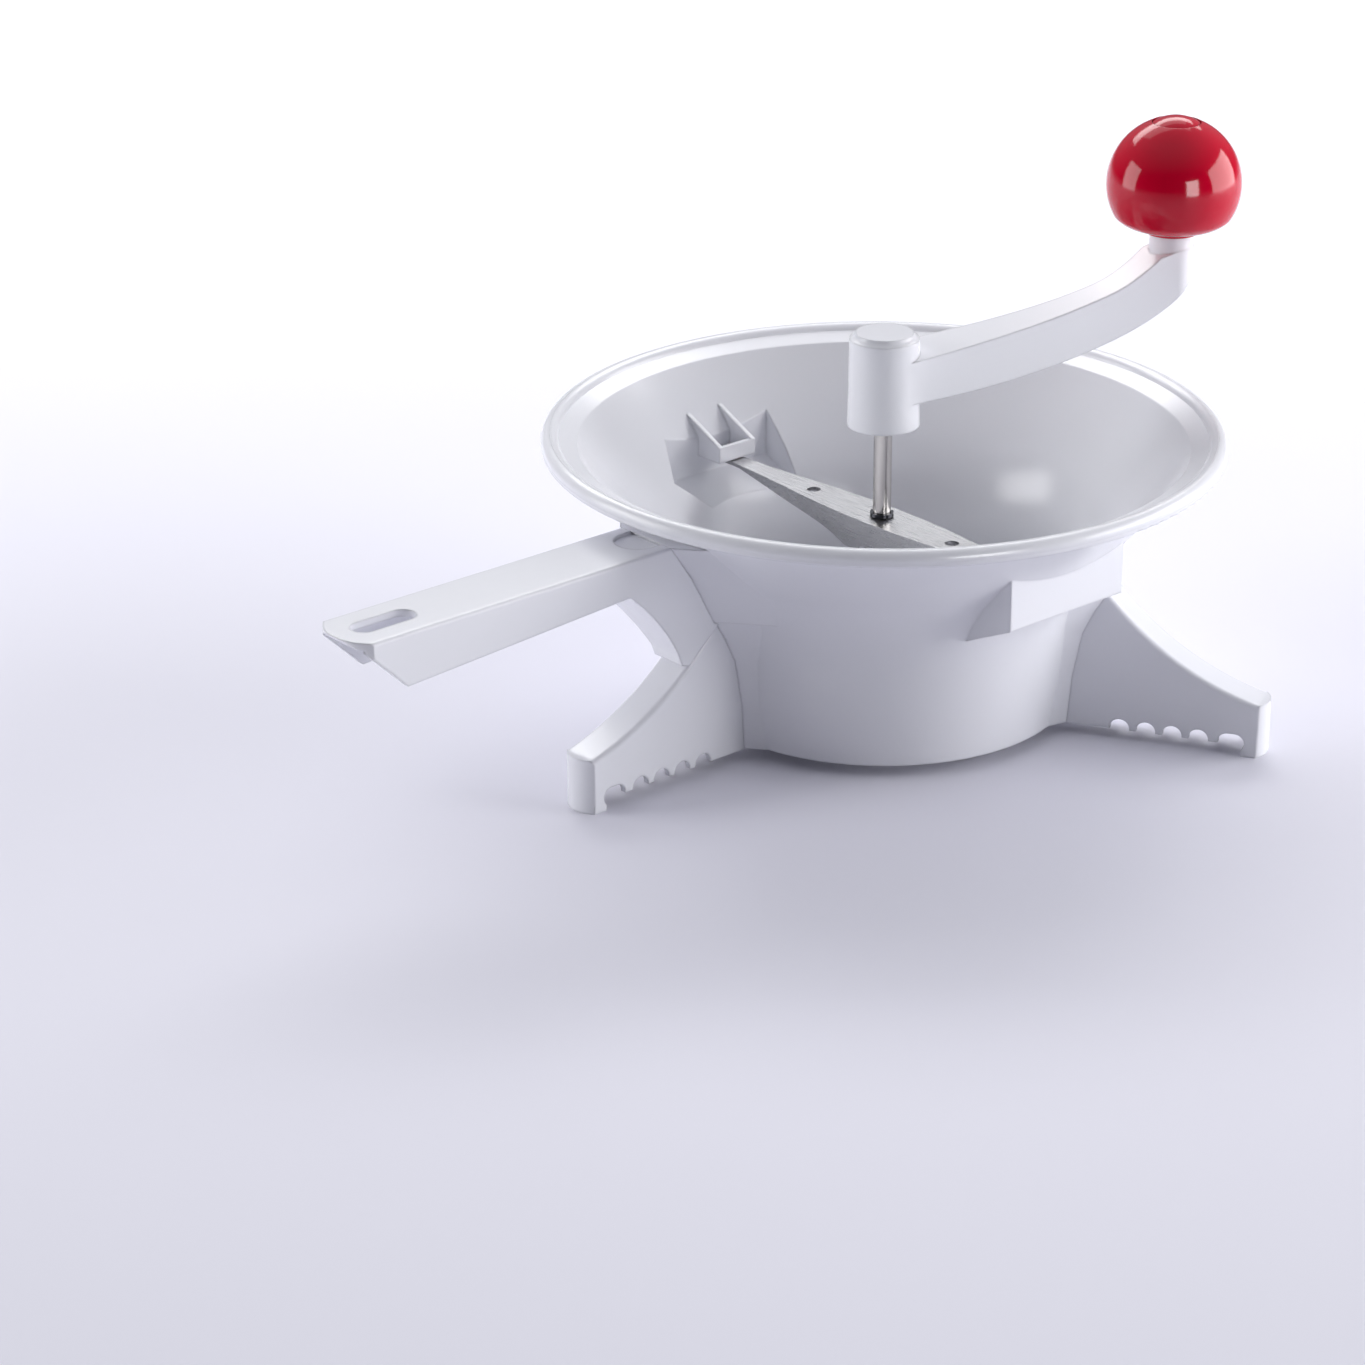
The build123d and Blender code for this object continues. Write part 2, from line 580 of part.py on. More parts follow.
# --- shaft, spring and blade ----------------------------------------------------------------------
def crank_shaft():
    """The shaft, stepped down below the bar, with a pilot in the sieve disc."""
    shaft = rod(SHAFT_R, SHOULDER_Z, ARM_HUB_BOTTOM + SHAFT_IN_HUB)
    shaft += rod(STEM_R, DISC_TOP + SEAT_GAP, SHOULDER_Z)
    shaft += rod(PILOT_R, DISC_TOP + SEAT_GAP - PILOT_LENGTH, SHOULDER_Z)
    shaft -= rod(STEM_R, RING_Z, SHOULDER_Z) - rod(STEM_R - RING_GROOVE, RING_Z, SHOULDER_Z)
    return shaft - cross_pin_hole()


def retaining_ring():
    """The open ring in the shaft's groove, above the bar."""
    bore = STEM_R - RING_GROOVE
    ring = rod(RING_R, RING_Z, SHOULDER_Z) - rod(bore, RING_Z, SHOULDER_Z)
    return ring - block((0, RING_R), (-bore * cos(pi / 4), bore * cos(pi / 4)), (RING_Z, SHOULDER_Z))


def washer(low):
    """A washer on the stem."""
    return rod(WASHER_R, low, low + WASHER_THICK) - rod(STEM_R + RUNNING_GAP, low, low + WASHER_THICK)


def helix_point(turn):
    """A point of the spring's centre line and its direction, after so many turns."""
    angle = 2 * pi * turn
    length = SPRING_HIGH - SPRING_LOW - 2 * WIRE_R
    rise = length / COIL_TURNS
    place = Vector(COIL_R * cos(angle), COIL_R * sin(angle), SPRING_LOW + WIRE_R + rise * turn)
    along = Vector(-2 * pi * COIL_R * sin(angle), 2 * pi * COIL_R * cos(angle), rise).normalized()
    return place, along


def biarc(start, end):
    """Two arcs that join two points of the spring and keep its direction at both."""
    p, u = start
    q, v = end
    chord = q - p
    total = u + v
    a = 2 * (1 - u.dot(v))
    b = 2 * chord.dot(total)
    reach = (-b + sqrt(b * b + 4 * a * chord.dot(chord))) / (2 * a)
    first = p + u * reach
    last = q - v * reach
    middle = (first + last) * 0.5
    return [TangentArc(p, middle, tangent=u), TangentArc(middle, q, tangent=last - first)]


def shaft_spring():
    """The coil spring that holds the bar up against its brackets and the blade down."""
    quarters = 4 * COIL_TURNS
    stations = [helix_point(i / 4) for i in range(quarters + 1)]
    arcs = []
    for start, end in zip(stations, stations[1:]):
        arcs += biarc(start, end)
    print("spring: least gap between its turns", round(turn_gap(), 3), "mm")
    start, along = stations[0]
    return sweep(Plane(origin=start, z_dir=along) * Circle(WIRE_R), path=Wire(arcs))


def turn_gap():
    """The least distance between the surfaces of different turns, measured on points."""
    per_turn = 24
    count = per_turn * COIL_TURNS
    points = [helix_point(i / per_turn)[0] for i in range(count + 1)]
    gaps = []
    for i, first in enumerate(points):
        gaps += [(second - first).length for second in points[i + per_turn // 2:]]
    return min(gaps) - 2 * WIRE_R


def sieve_disc():
    """The sieve disc: rings of round holes, and a low upturned rim."""
    stem = PILOT_R + RUNNING_GAP
    rim_top = DISC_Z + DISC_RIM_HEIGHT
    body = rod(DISC_R, DISC_Z, rim_top) - rod(DISC_R - DISC_THICK, DISC_TOP, rim_top)
    cuts = [rod(stem, DISC_Z, DISC_TOP)]
    for ring in range(RING_COUNT):
        radius = RING_FIRST_R + ring * RING_STEP
        count = round(2 * pi * radius / HOLE_PITCH)
        for i in range(count):
            angle = 2 * pi * (i + ring % 2 / 2) / count
            cuts.append(rod(HOLE_R, DISC_Z, DISC_TOP, radius * cos(angle), radius * sin(angle)))
    return body - cuts


def rivet_places():
    """The middles of the rivets, as (x, y)."""
    angles = [2 * pi * (i + 0.5) / RIVET_COUNT for i in range(RIVET_COUNT)]
    return [(RIVET_CIRCLE_R * cos(a), RIVET_CIRCLE_R * sin(a)) for a in angles]


def blade_wing():
    """One pitched wing of the blade, along +X, narrower towards its tip."""
    root = BLADE_CHORD / 2
    tip = BLADE_TIP_CHORD / 2
    corners = [(BLADE_ROOT_S, -root), (BLADE_R, -tip), (BLADE_R, tip), (BLADE_ROOT_S, root)]
    wing = plan_prism(Polyline(*corners, close=True), -SHEET / 2, SHEET / 2)
    return Pos(0, 0, BLADE_Z + SHEET / 2) * Rot(BLADE_PITCH, 0, 0) * wing


def masher_blade():
    """The two-winged blade, with a round centre plate for the rivets."""
    blade = rod(BLADE_PLATE_R, BLADE_Z, PLATE_TOP)
    for azimuth in (0.0, 180.0):
        blade += polar(blade_wing(), azimuth)
    blade = blade & rod(BLADE_R, DISC_TOP, BOSS_TOP)
    blade -= rod(STEM_R + RUNNING_GAP, BLADE_Z, PLATE_TOP)
    for x, y in rivet_places():
        blade -= rod(RIVET_R + RUNNING_GAP, BLADE_Z, PLATE_TOP, x, y)
    return blade


def cross_pin_hole():
    """The hole for the cross pin through the boss and the shaft."""
    return Pos(0, 0, PLATE_TOP + PIN_RISE) * Rot(0, 90, 0) * Cylinder(PIN_R + RUNNING_GAP, 2 * BOSS_R)


def blade_boss():
    """The flanged boss that joins the blade to the shaft."""
    boss = rod(BOSS_FLANGE_R, PLATE_TOP, FLANGE_TOP) + rod(BOSS_R, PLATE_TOP, BOSS_TOP)
    boss -= rod(STEM_R + RUNNING_GAP, PLATE_TOP, BOSS_TOP)
    for x, y in rivet_places():
        boss -= rod(RIVET_R + RUNNING_GAP, PLATE_TOP, FLANGE_TOP, x, y)
    return boss - cross_pin_hole()


def cross_pin():
    """The pin that fixes the boss to the shaft."""
    return Pos(0, 0, PLATE_TOP + PIN_RISE) * Rot(0, 90, 0) * Cylinder(PIN_R, 2 * BOSS_R)


def blade_rivets():
    """The rivets that fix the blade to its boss."""
    rivets = []
    for x, y in rivet_places():
        rivet = rod(RIVET_R, BLADE_Z, FLANGE_TOP, x, y)
        rivet += rod(RIVET_HEAD_R, BLADE_Z - RIVET_HEAD, BLADE_Z, x, y)
        rivet += rod(RIVET_HEAD_R, FLANGE_TOP, FLANGE_TOP + RIVET_HEAD, x, y)
        rivets.append(rivet)
    return Compound(children=rivets)


# --- crank arm and knob ---------------------------------------------------------------------------
def arm_hub():
    """The tapered hub of the crank arm, on the bowl's axis, with its seam away from the beam."""
    top = ARM_HUB_TOP - ARM_HUB_ROUND
    edge = Polyline((0, ARM_HUB_BOTTOM), (ARM_HUB_R, ARM_HUB_BOTTOM), (ARM_HUB_TOP_R, top))
    crown = RadiusArc((ARM_HUB_TOP_R, top), (ARM_HUB_TOP_R - ARM_HUB_ROUND, ARM_HUB_TOP), ARM_HUB_ROUND)
    close = Polyline((ARM_HUB_TOP_R - ARM_HUB_ROUND, ARM_HUB_TOP), (0, ARM_HUB_TOP), (0, ARM_HUB_BOTTOM))
    return Rot(0, 0, 180) * turned([edge, crown, close])


def arm_plan(inset):
    """The arm's waisted plan outline, `inset` inside its edges."""
    left = [(s, w - inset) for s, w in ARM_WIDTHS]
    right = [(s, -w) for s, w in left]
    return [Spline(*left), Line(left[-1], right[-1]), Spline(*right), Line(right[0], left[0])]


def arm_beam(inset):
    """The arm's rising beam, `inset` inside its sides."""
    tip = ARM_BELLY[0]
    end = Polyline(ARM_BACK[-1], (ARM_BACK[-1][0], ARM_END_TOP), (tip[0], ARM_END_TOP), tip)
    outline = [Spline(*ARM_BACK), end, Spline(*ARM_BELLY), Line(ARM_BELLY[-1], ARM_BACK[0])]
    strip = plan_prism(arm_plan(inset), 0, COLLAR_TOP)
    return side_prism(outline, ARM_HUB_R) & (strip + rod(ARM_TIP_R - inset, 0, COLLAR_TOP, CRANK_R))


def arm_hollow():
    """The hollow under the beam, with cross ribs left standing."""
    hollow = Pos(0, 0, -ARM_WALL) * arm_beam(ARM_WALL)
    hollow += Pos(0, 0, -2 * ARM_WALL) * arm_beam(ARM_WALL)
    start = ARM_HUB_R + ARM_WALL
    ribs = [block((s, s + ARM_WALL), (-ARM_HUB_R, ARM_HUB_R), (0, COLLAR_TOP)) for s in ARM_RIBS]
    solid_end = block((CRANK_R - COLLAR_R, REACH), (-REACH, REACH), (0, COLLAR_TOP))
    root = block((-REACH, start), (-REACH, REACH), (0, COLLAR_TOP))
    return hollow - ribs - solid_end - root


def crank_arm():
    """The crank arm: hub, beam and the collar that the knob turns on."""
    arm = arm_hub() + arm_beam(0.0) + rod(COLLAR_R, ARM_END_TOP - COLLAR_R, COLLAR_TOP, CRANK_R)
    arm -= arm_hollow()
    arm -= rod(SHAFT_R + RUNNING_GAP, ARM_HUB_BOTTOM, ARM_HUB_BOTTOM + SHAFT_IN_HUB)
    arm -= rod(AXLE_R + RUNNING_GAP, COLLAR_TOP - AXLE_DEPTH, COLLAR_TOP, CRANK_R)
    return polar(arm, CRANK_AZIMUTH)


def at_knob(part):
    """Moves a part made on the bowl's axis to the knob's axis."""
    return polar(Pos(CRANK_R, 0, 0) * part, CRANK_AZIMUTH)


def ball_radius(z):
    """Radius of the knob's ball at height z."""
    return sqrt(KNOB_R ** 2 - (z - KNOB_CENTRE) ** 2)


def knob():
    """The ball knob, bored for its axle, with a well for the axle's head."""
    bore = AXLE_R + RUNNING_GAP
    recess = PLUG_R + PLUG_GROOVE
    brow = KNOB_CENTRE + sqrt(KNOB_R ** 2 - recess ** 2)
    shoulder = (ball_radius(KNOB_SHOULDER_Z), KNOB_SHOULDER_Z)
    neck = (KNOB_NECK_R, KNOB_NECK_TOP)
    foot = Polyline((bore, KNOB_Z), (KNOB_NECK_R, KNOB_Z), neck, (KNOB_FOOT_R, KNOB_NECK_TOP))
    under = TangentArc((KNOB_FOOT_R, KNOB_NECK_TOP), shoulder, tangent=(1, 0))
    ball = ThreePointArc(shoulder, (KNOB_R, KNOB_CENTRE), (recess, brow))
    well = Polyline(
        (recess, brow), (recess, PLUG_SEAT_Z), (KNOB_WELL_R, PLUG_SEAT_Z), (KNOB_WELL_R, KNOB_WELL_Z),
        (bore, KNOB_WELL_Z), (bore, KNOB_Z),
    )
    return at_knob(turned([foot, under, ball, well]))


def knob_screw():
    """The shouldered axle screw of the knob, slotted in its head."""
    head = KNOB_WELL_Z + SEAT_GAP + KNOB_WASHER_THICK
    top = head + AXLE_HEAD_HEIGHT
    screw = rod(AXLE_R, COLLAR_TOP - AXLE_DEPTH, head) + rod(AXLE_HEAD_R, head, top)
    screw -= block((-AXLE_HEAD_R, AXLE_HEAD_R), (-AXLE_SLOT / 2, AXLE_SLOT / 2), (top - AXLE_SLOT, top))
    return at_knob(screw)


def knob_washer():
    """The washer under the axle's head."""
    low = KNOB_WELL_Z + SEAT_GAP
    high = low + KNOB_WASHER_THICK
    return at_knob(rod(KNOB_WASHER_R, low, high) - rod(AXLE_R + RUNNING_GAP, low, high))


def knob_cap():
    """The domed plug that closes the top of the knob."""
    step_r = KNOB_WELL_R - PLUG_GROOVE
    low = PLUG_SEAT_Z - PLUG_STEP
    edge = [(step_r, low), (step_r, PLUG_SEAT_Z), (PLUG_R, PLUG_SEAT_Z), (PLUG_R, PLUG_EDGE_Z)]
    side = Polyline((0, low), *edge)
    dome = TangentArc((0, PLUG_TOP_Z), (PLUG_R, PLUG_EDGE_Z), tangent=(1, 0))
    return at_knob(turned([side, dome, Line((0, PLUG_TOP_Z), (0, low))]))


def pieces():
    """Every piece by its name."""
    named = {
        "bowl": bowl(),
        "handle": polar(handle(), HANDLE_AZIMUTH),
        "sieve_disc": sieve_disc(),
        "crossbar": crossbar(),
        "crank_shaft": crank_shaft(),
        "retaining_ring": retaining_ring(),
        "upper_washer": washer(SPRING_HIGH),
        "shaft_spring": shaft_spring(),
        "lower_washer": washer(BOSS_TOP),
        "blade_boss": blade_boss(),
        "cross_pin": cross_pin(),
        "masher_blade": masher_blade(),
        "blade_rivets": blade_rivets(),
        "crank_arm": crank_arm(),
        "knob": knob(),
        "knob_screw": knob_screw(),
        "knob_washer": knob_washer(),
        "knob_cap": knob_cap(),
    }
    for name, azimuth in LEG_AZIMUTHS.items():
        named[name] = polar(leg(), azimuth)
    return named


def main():
    """Builds each piece and writes it to its file."""
    os.makedirs("parts", exist_ok=True)
    for name, solid in pieces().items():
        export_step(solid, f"parts/{name}.step")


main()
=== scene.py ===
"""A hand-cranked strainer.

A white moulded bowl on three notched legs, with a sprung steel crossbar and a crank with a red
ball knob.
"""

import json
import logging
import math
from dataclasses import dataclass, field
from enum import Enum

import bmesh
import bpy
from mathutils import Matrix, Vector


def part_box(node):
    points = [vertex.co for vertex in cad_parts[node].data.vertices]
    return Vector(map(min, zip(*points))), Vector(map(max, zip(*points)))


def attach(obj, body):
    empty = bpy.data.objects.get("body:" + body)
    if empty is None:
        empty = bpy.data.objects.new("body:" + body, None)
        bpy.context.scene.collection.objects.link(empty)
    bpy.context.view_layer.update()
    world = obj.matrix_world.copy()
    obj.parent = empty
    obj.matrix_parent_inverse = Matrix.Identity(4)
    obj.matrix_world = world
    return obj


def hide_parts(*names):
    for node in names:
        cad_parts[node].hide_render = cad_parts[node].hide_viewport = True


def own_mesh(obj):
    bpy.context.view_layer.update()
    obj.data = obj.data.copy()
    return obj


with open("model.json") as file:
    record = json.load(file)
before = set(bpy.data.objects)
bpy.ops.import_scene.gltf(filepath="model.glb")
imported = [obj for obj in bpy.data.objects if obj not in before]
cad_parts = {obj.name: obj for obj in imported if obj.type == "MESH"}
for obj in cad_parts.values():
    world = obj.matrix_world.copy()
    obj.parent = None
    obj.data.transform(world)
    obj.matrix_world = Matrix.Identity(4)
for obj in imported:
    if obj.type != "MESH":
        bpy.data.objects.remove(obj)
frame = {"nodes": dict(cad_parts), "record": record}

MM = 0.001
# Corners closer than these are one: in the solids' loose triangles, and in a turned or filled mesh.
LOOSE_MM = 0.002
CLOSE_MM = 0.001
# Rays that a Bevel node sends out to find an edge.
EDGE_RAYS = 4
LOG = logging.getLogger("strainer")

Point = tuple[float, float, float]
Outline = list[tuple[float, float]]


# ---------------------------------------------------------------- helpers
def linear(hex_colour: str) -> tuple[float, float, float, float]:
    """Turns an sRGB hex colour into the linear colour that shaders use.

    Args:
        hex_colour: Colour as "#rrggbb".

    Returns:
        Linear red, green, blue and an alpha of 1.
    """
    parts = [int(hex_colour[i : i + 2], 16) / 255 for i in (1, 3, 5)]
    values = [c / 12.92 if c <= 0.04045 else ((c + 0.055) / 1.055) ** 2.4 for c in parts]
    return (values[0], values[1], values[2], 1.0)


def add_node(
    tree: bpy.types.NodeTree, kind: str, inputs: dict | None = None, **settings: object
) -> bpy.types.Node:
    """Adds one node with its settings, values and links.

    Args:
        tree: The shader or geometry tree to add to.
        kind: The node's type name.
        inputs: Socket name or index to a value, or to what is linked in: a socket, a node whose
            first output is meant, or a list of them where the input joins several.
        **settings: Attributes of the node itself.

    Returns:
        The new node.
    """
    made = tree.nodes.new(kind)
    for name, value in settings.items():
        setattr(made, name, value)
    for name, value in (inputs or {}).items():
        sources = value if isinstance(value, list) else [value]
        if not isinstance(sources[0], (bpy.types.Node, bpy.types.NodeSocket)):
            made.inputs[name].default_value = value
            continue
        for source in sources:
            socket = source.outputs[0] if isinstance(source, bpy.types.Node) else source
            tree.links.new(socket, made.inputs[name])
    return made


def per_mm(size_mm: float) -> float:
    """Noise scale, in cells a metre, for a pattern whose features are `size_mm` across."""
    return 1.0 / (size_mm * MM)


def cap_arc(radius: float, low: float, high: float, steps: int = 6) -> Outline:
    """A domed cap's outline, from its middle at `high` out to its edge at `low`.

    Args:
        radius: Radius of the cap's edge.
        low: Height of its edge.
        high: Height of its middle.
        steps: How many straight pieces stand for the curve.

    Returns:
        Points as (radius, height).
    """
    turns = [i / steps * math.pi / 2 for i in range(steps + 1)]
    return [(radius * math.sin(a), low + (high - low) * math.cos(a)) for a in turns]


def spun(name: str, outline: Outline, segments: int, closed: bool = False) -> bpy.types.Mesh:
    """Turns an outline about the Z axis into a mesh with its faces outwards.

    Args:
        name: The mesh's name.
        outline: Points as (radius, height), in metres.
        segments: How many steps make the full turn.
        closed: Whether the outline's last point joins its first.

    Returns:
        The new mesh.
    """
    work = bmesh.new()
    points = [work.verts.new((r, 0.0, z)) for r, z in outline]
    pairs = list(zip(points, points[1:])) + ([(points[-1], points[0])] if closed else [])
    edges = [work.edges.new(pair) for pair in pairs]
    bmesh.ops.spin(
        work,
        geom=points + edges,
        cent=(0, 0, 0),
        axis=(0, 0, 1),
        angle=math.tau,
        steps=segments,
        use_merge=True,
    )
    bmesh.ops.remove_doubles(work, verts=work.verts, dist=CLOSE_MM * MM)
    bmesh.ops.recalc_face_normals(work, faces=work.faces)
    mesh = bpy.data.meshes.new(name)
    work.to_mesh(mesh)
    work.free()
    return mesh


def shade(mesh: bpy.types.Mesh, sharp_deg: float) -> bpy.types.Mesh:
    """Shades a mesh smooth, with its edges sharp where they turn more than `sharp_deg`."""
    for name in ("custom_normal", "sharp_edge", "sharp_face"):
        found = mesh.attributes.get(name)
        if found:
            mesh.attributes.remove(found)
    mesh.shade_smooth()
    mesh.set_sharp_from_angle(angle=math.radians(sharp_deg))
    return mesh


# ---------------------------------------------------------------- finishes
@dataclass(frozen=True)
class MouldedPlastic:
    """Injection-moulded ABS: a polished skin with faint flow marks and small radii on its edges."""

    name: str
    colour: str
    shade: str
    roughness: float = 0.2
    roughness_spread: tuple[float, float] = (-0.04, 0.06)
    grain_mm: float = 1.8
    grain_depth_mm: float = 0.2
    flow_mm: float = 60.0
    ripple: float = 0.035
    edge_mm: float = 1.2
    ior: float = 1.53

    def build(self) -> bpy.types.Material:
        """Builds the material and returns it."""
        material = bpy.data.materials.new(self.name)
        material.use_nodes = True
        tree = material.node_tree
        shader = tree.nodes["Principled BSDF"]
        place = add_node(tree, "ShaderNodeTexCoord").outputs["Object"]
        # Flow marks: broad, faint patches where the plastic cooled at different rates.
        flow = add_node(
            tree,
            "ShaderNodeTexNoise",
            {"Vector": place, "Scale": per_mm(self.flow_mm), "Detail": 2.0},
        )
        mix = add_node(
            tree,
            "ShaderNodeMix",
            {0: flow, 6: linear(self.colour), 7: linear(self.shade)},
            data_type="RGBA",
        )
        # Ripple of about 1.8 mm that the polished mould leaves. It softens reflections a little.
        grain = add_node(
            tree,
            "ShaderNodeTexNoise",
            {"Vector": place, "Scale": per_mm(self.grain_mm), "Detail": 3.0},
        )
        least, most = (self.roughness + change for change in self.roughness_spread)
        rough = add_node(
            tree, "ShaderNodeMapRange", {"Value": grain, "To Min": least, "To Max": most}
        )
        # Every edge of a moulding has a small radius, which catches a line of light.
        edges = add_node(
            tree, "ShaderNodeBevel", {"Radius": self.edge_mm * MM}, samples=EDGE_RAYS
        )
        bump = add_node(
            tree,
            "ShaderNodeBump",
            {
                "Height": grain,
                "Strength": self.ripple,
                "Distance": self.grain_depth_mm * MM,
                "Normal": edges,
            },
        )
        tree.links.new(mix.outputs[2], shader.inputs["Base Color"])
        tree.links.new(rough.outputs[0], shader.inputs["Roughness"])
        tree.links.new(bump.outputs[0], shader.inputs["Normal"])
        shader.inputs["IOR"].default_value = self.ior
        return material


@dataclass(frozen=True)
class WorkedSteel:
    """Stainless steel with the fine marks of how it was rolled, drawn, turned or stamped."""

    name: str
    colour: str
    stain: str
    roughness: float
    marks_mm: Point
    depth: float = 0.1
    groove_mm: float = 0.05
    polish: tuple[float, float] = (0.7, 1.4)
    patch_mm: float = 18.0
    edge_mm: float = 0.2

    def build(self) -> bpy.types.Material:
        """Builds the material and returns it."""
        material = bpy.data.materials.new(self.name)
        material.use_nodes = True
        tree = material.node_tree
        shader = tree.nodes["Principled BSDF"]
        place = add_node(tree, "ShaderNodeTexCoord").outputs["Object"]
        scale = tuple(per_mm(size) for size in self.marks_mm)
        stretched = add_node(tree, "ShaderNodeMapping", {"Vector": place, "Scale": scale})
        # Marks of the tool: long cells that follow the way the steel was worked. The real ones are
        # finer than a tenth of a millimetre, and are drawn as coarse as they need to show.
        marks = add_node(
            tree, "ShaderNodeTexNoise", {"Vector": stretched, "Scale": 1.0, "Detail": 4.0}
        )
        # Handling leaves the steel duller in patches of about 18 mm.
        cloud = add_node(
            tree,
            "ShaderNodeTexNoise",
            {"Vector": place, "Scale": per_mm(self.patch_mm), "Detail": 2.0},
        )
        mix = add_node(
            tree,
            "ShaderNodeMix",
            {0: cloud, 6: linear(self.colour), 7: linear(self.stain)},
            data_type="RGBA",
        )
        least, most = (self.roughness * share for share in self.polish)
        rough = add_node(
            tree, "ShaderNodeMapRange", {"Value": marks, "To Min": least, "To Max": most}
        )
        edges = add_node(
            tree, "ShaderNodeBevel", {"Radius": self.edge_mm * MM}, samples=EDGE_RAYS
        )
        bump = add_node(
            tree,
            "ShaderNodeBump",
            {
                "Height": marks,
                "Strength": self.depth,
                "Distance": self.groove_mm * MM,
                "Normal": edges,
            },
        )
        tree.links.new(mix.outputs[2], shader.inputs["Base Color"])
        tree.links.new(rough.outputs[0], shader.inputs["Roughness"])
        tree.links.new(bump.outputs[0], shader.inputs["Normal"])
        shader.inputs["Metallic"].default_value = 1.0
        return material


class Finish(Enum):
    """Every finish of the strainer."""

    # Cool white with a soft gloss, and a thin line of light on each edge.
    WHITE_ABS = MouldedPlastic("white moulded ABS", "#eeeef3", "#e7e8ee")
    # Deep crimson that mirrors the soft boxes sharply, from a polished mould.
    RED_ABS = MouldedPlastic(
        "red polished ABS",
        "#c8002a",
        "#be0026",
        roughness=0.09,
        ripple=0.012,
        edge_mm=0.4,
        ior=1.42,
    )
    # Fine lines along the bar, which stretch its reflections across it.
    BAR_STEEL = WorkedSteel(
        "brushed stainless sheet", "#c6c6c8", "#a9a9ab", 0.27, (0.25, 14.0, 0.25), 0.2
    )
    # Faint rings round the rod, with narrow bright and dark bands along it.
    SHAFT_STEEL = WorkedSteel(
        "ground stainless rod", "#c9c6c4", "#bcb8b5", 0.13, (6.0, 6.0, 0.2), 0.05
    )
    # Dull sheen without a direction, as drawn wire has.
    WIRE_STEEL = WorkedSteel("drawn spring wire", "#b6b7ba", "#a7a8ab", 0.25, (0.3, 0.3, 0.3))
    # Rolling lines of 0.3 mm all one way, with a duller sheen than the bar's.
    DISC_STEEL = WorkedSteel(
        "stamped stainless sheet", "#c4c6ca", "#b4b6ba", 0.28, (9.0, 0.3, 9.0)
    )
    # Near black, with a dull glint on its edges.
    DARK_STEEL = WorkedSteel(
        "blackened spring steel", "#55565c", "#3d3e43", 0.22, (1.0, 1.0, 1.0)
    )


FINISH_OF = {
    "white_plastic": Finish.WHITE_ABS,
    "red_plastic": Finish.RED_ABS,
    "bar_steel": Finish.BAR_STEEL,
    "shaft_steel": Finish.SHAFT_STEEL,
    "spring_steel": Finish.WIRE_STEEL,
    "disc_steel": Finish.DISC_STEEL,
    "dark_steel": Finish.DARK_STEEL,
}


# ---------------------------------------------------------------- workshop
@dataclass
class Workshop:
    """Keeps one material for each finish, and makes pieces that stand for the CAD's nodes."""

    made: dict[Finish, bpy.types.Material] = field(default_factory=dict)

    def material(self, finish: Finish) -> bpy.types.Material:
        """Returns the finish's material, which is built when first asked for."""
        if finish not in self.made:
            self.made[finish] = finish.value.build()
        return self.made[finish]

    def slot_of(self, node: str) -> str:
        """Returns the record's material slot of a CAD node."""
        parts = frame["record"]["subparts"]
        return next(part["material_slot"] for part in parts if part["node"] == node)

    def body_of(self, node: str) -> str:
        """Returns the body that a CAD node rides on."""
        bodies = frame["record"]["behaviour"]["bodies"]
        return next(body for body, nodes in bodies.items() if node in nodes)

    def finish_of(self, node: str) -> bpy.types.Material:
        """Returns the material of a CAD node's slot."""
        return self.material(FINISH_OF[self.slot_of(node)])

    def merged(self, node: str) -> bmesh.types.BMesh:
        """Returns a copy of a CAD node's mesh with its loose triangles joined."""
        work = bmesh.new()
        work.from_mesh(frame["nodes"][node].data)
        bmesh.ops.remove_doubles(work, verts=work.verts, dist=LOOSE_MM * MM)
        return work

    def skin(
        self, node: str, sharp_deg: float, work: bmesh.types.BMesh | None = None
    ) -> bpy.types.Object:
        """Shows a CAD node by a merged, smoothly shaded copy of it.

        Args:
            node: The CAD node's name.
            sharp_deg: Edges that turn more than this stay sharp.
            work: The mesh to show, if more than merging was done to it.

        Returns:
            The piece.
        """
        work = work or self.merged(node)
        mesh = bpy.data.meshes.new(f"{node}_skin")
        work.to_mesh(mesh)
        work.free()
        mesh.materials.clear()
        mesh.materials.append(self.finish_of(node))
        return self.piece(f"{node}_skin", shade(mesh, sharp_deg), node)

    def piece(self, name: str, mesh: bpy.types.Mesh, node: str) -> bpy.types.Object:
        """Makes a mesh a piece that stands for a CAD node and moves with it.

        Args:
            name: The piece's name.
            mesh: Its mesh, in place.
            node: The node that it stands for.

        Returns:
            The piece.
        """
        made = bpy.data.objects.new(name, mesh)
        bpy.context.scene.collection.objects.link(made)
        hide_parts(node)
        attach(made, self.body_of(node))
        self.slot_of(node)
        LOG.info("%s: %d faces", name, len(mesh.polygons))
        return made


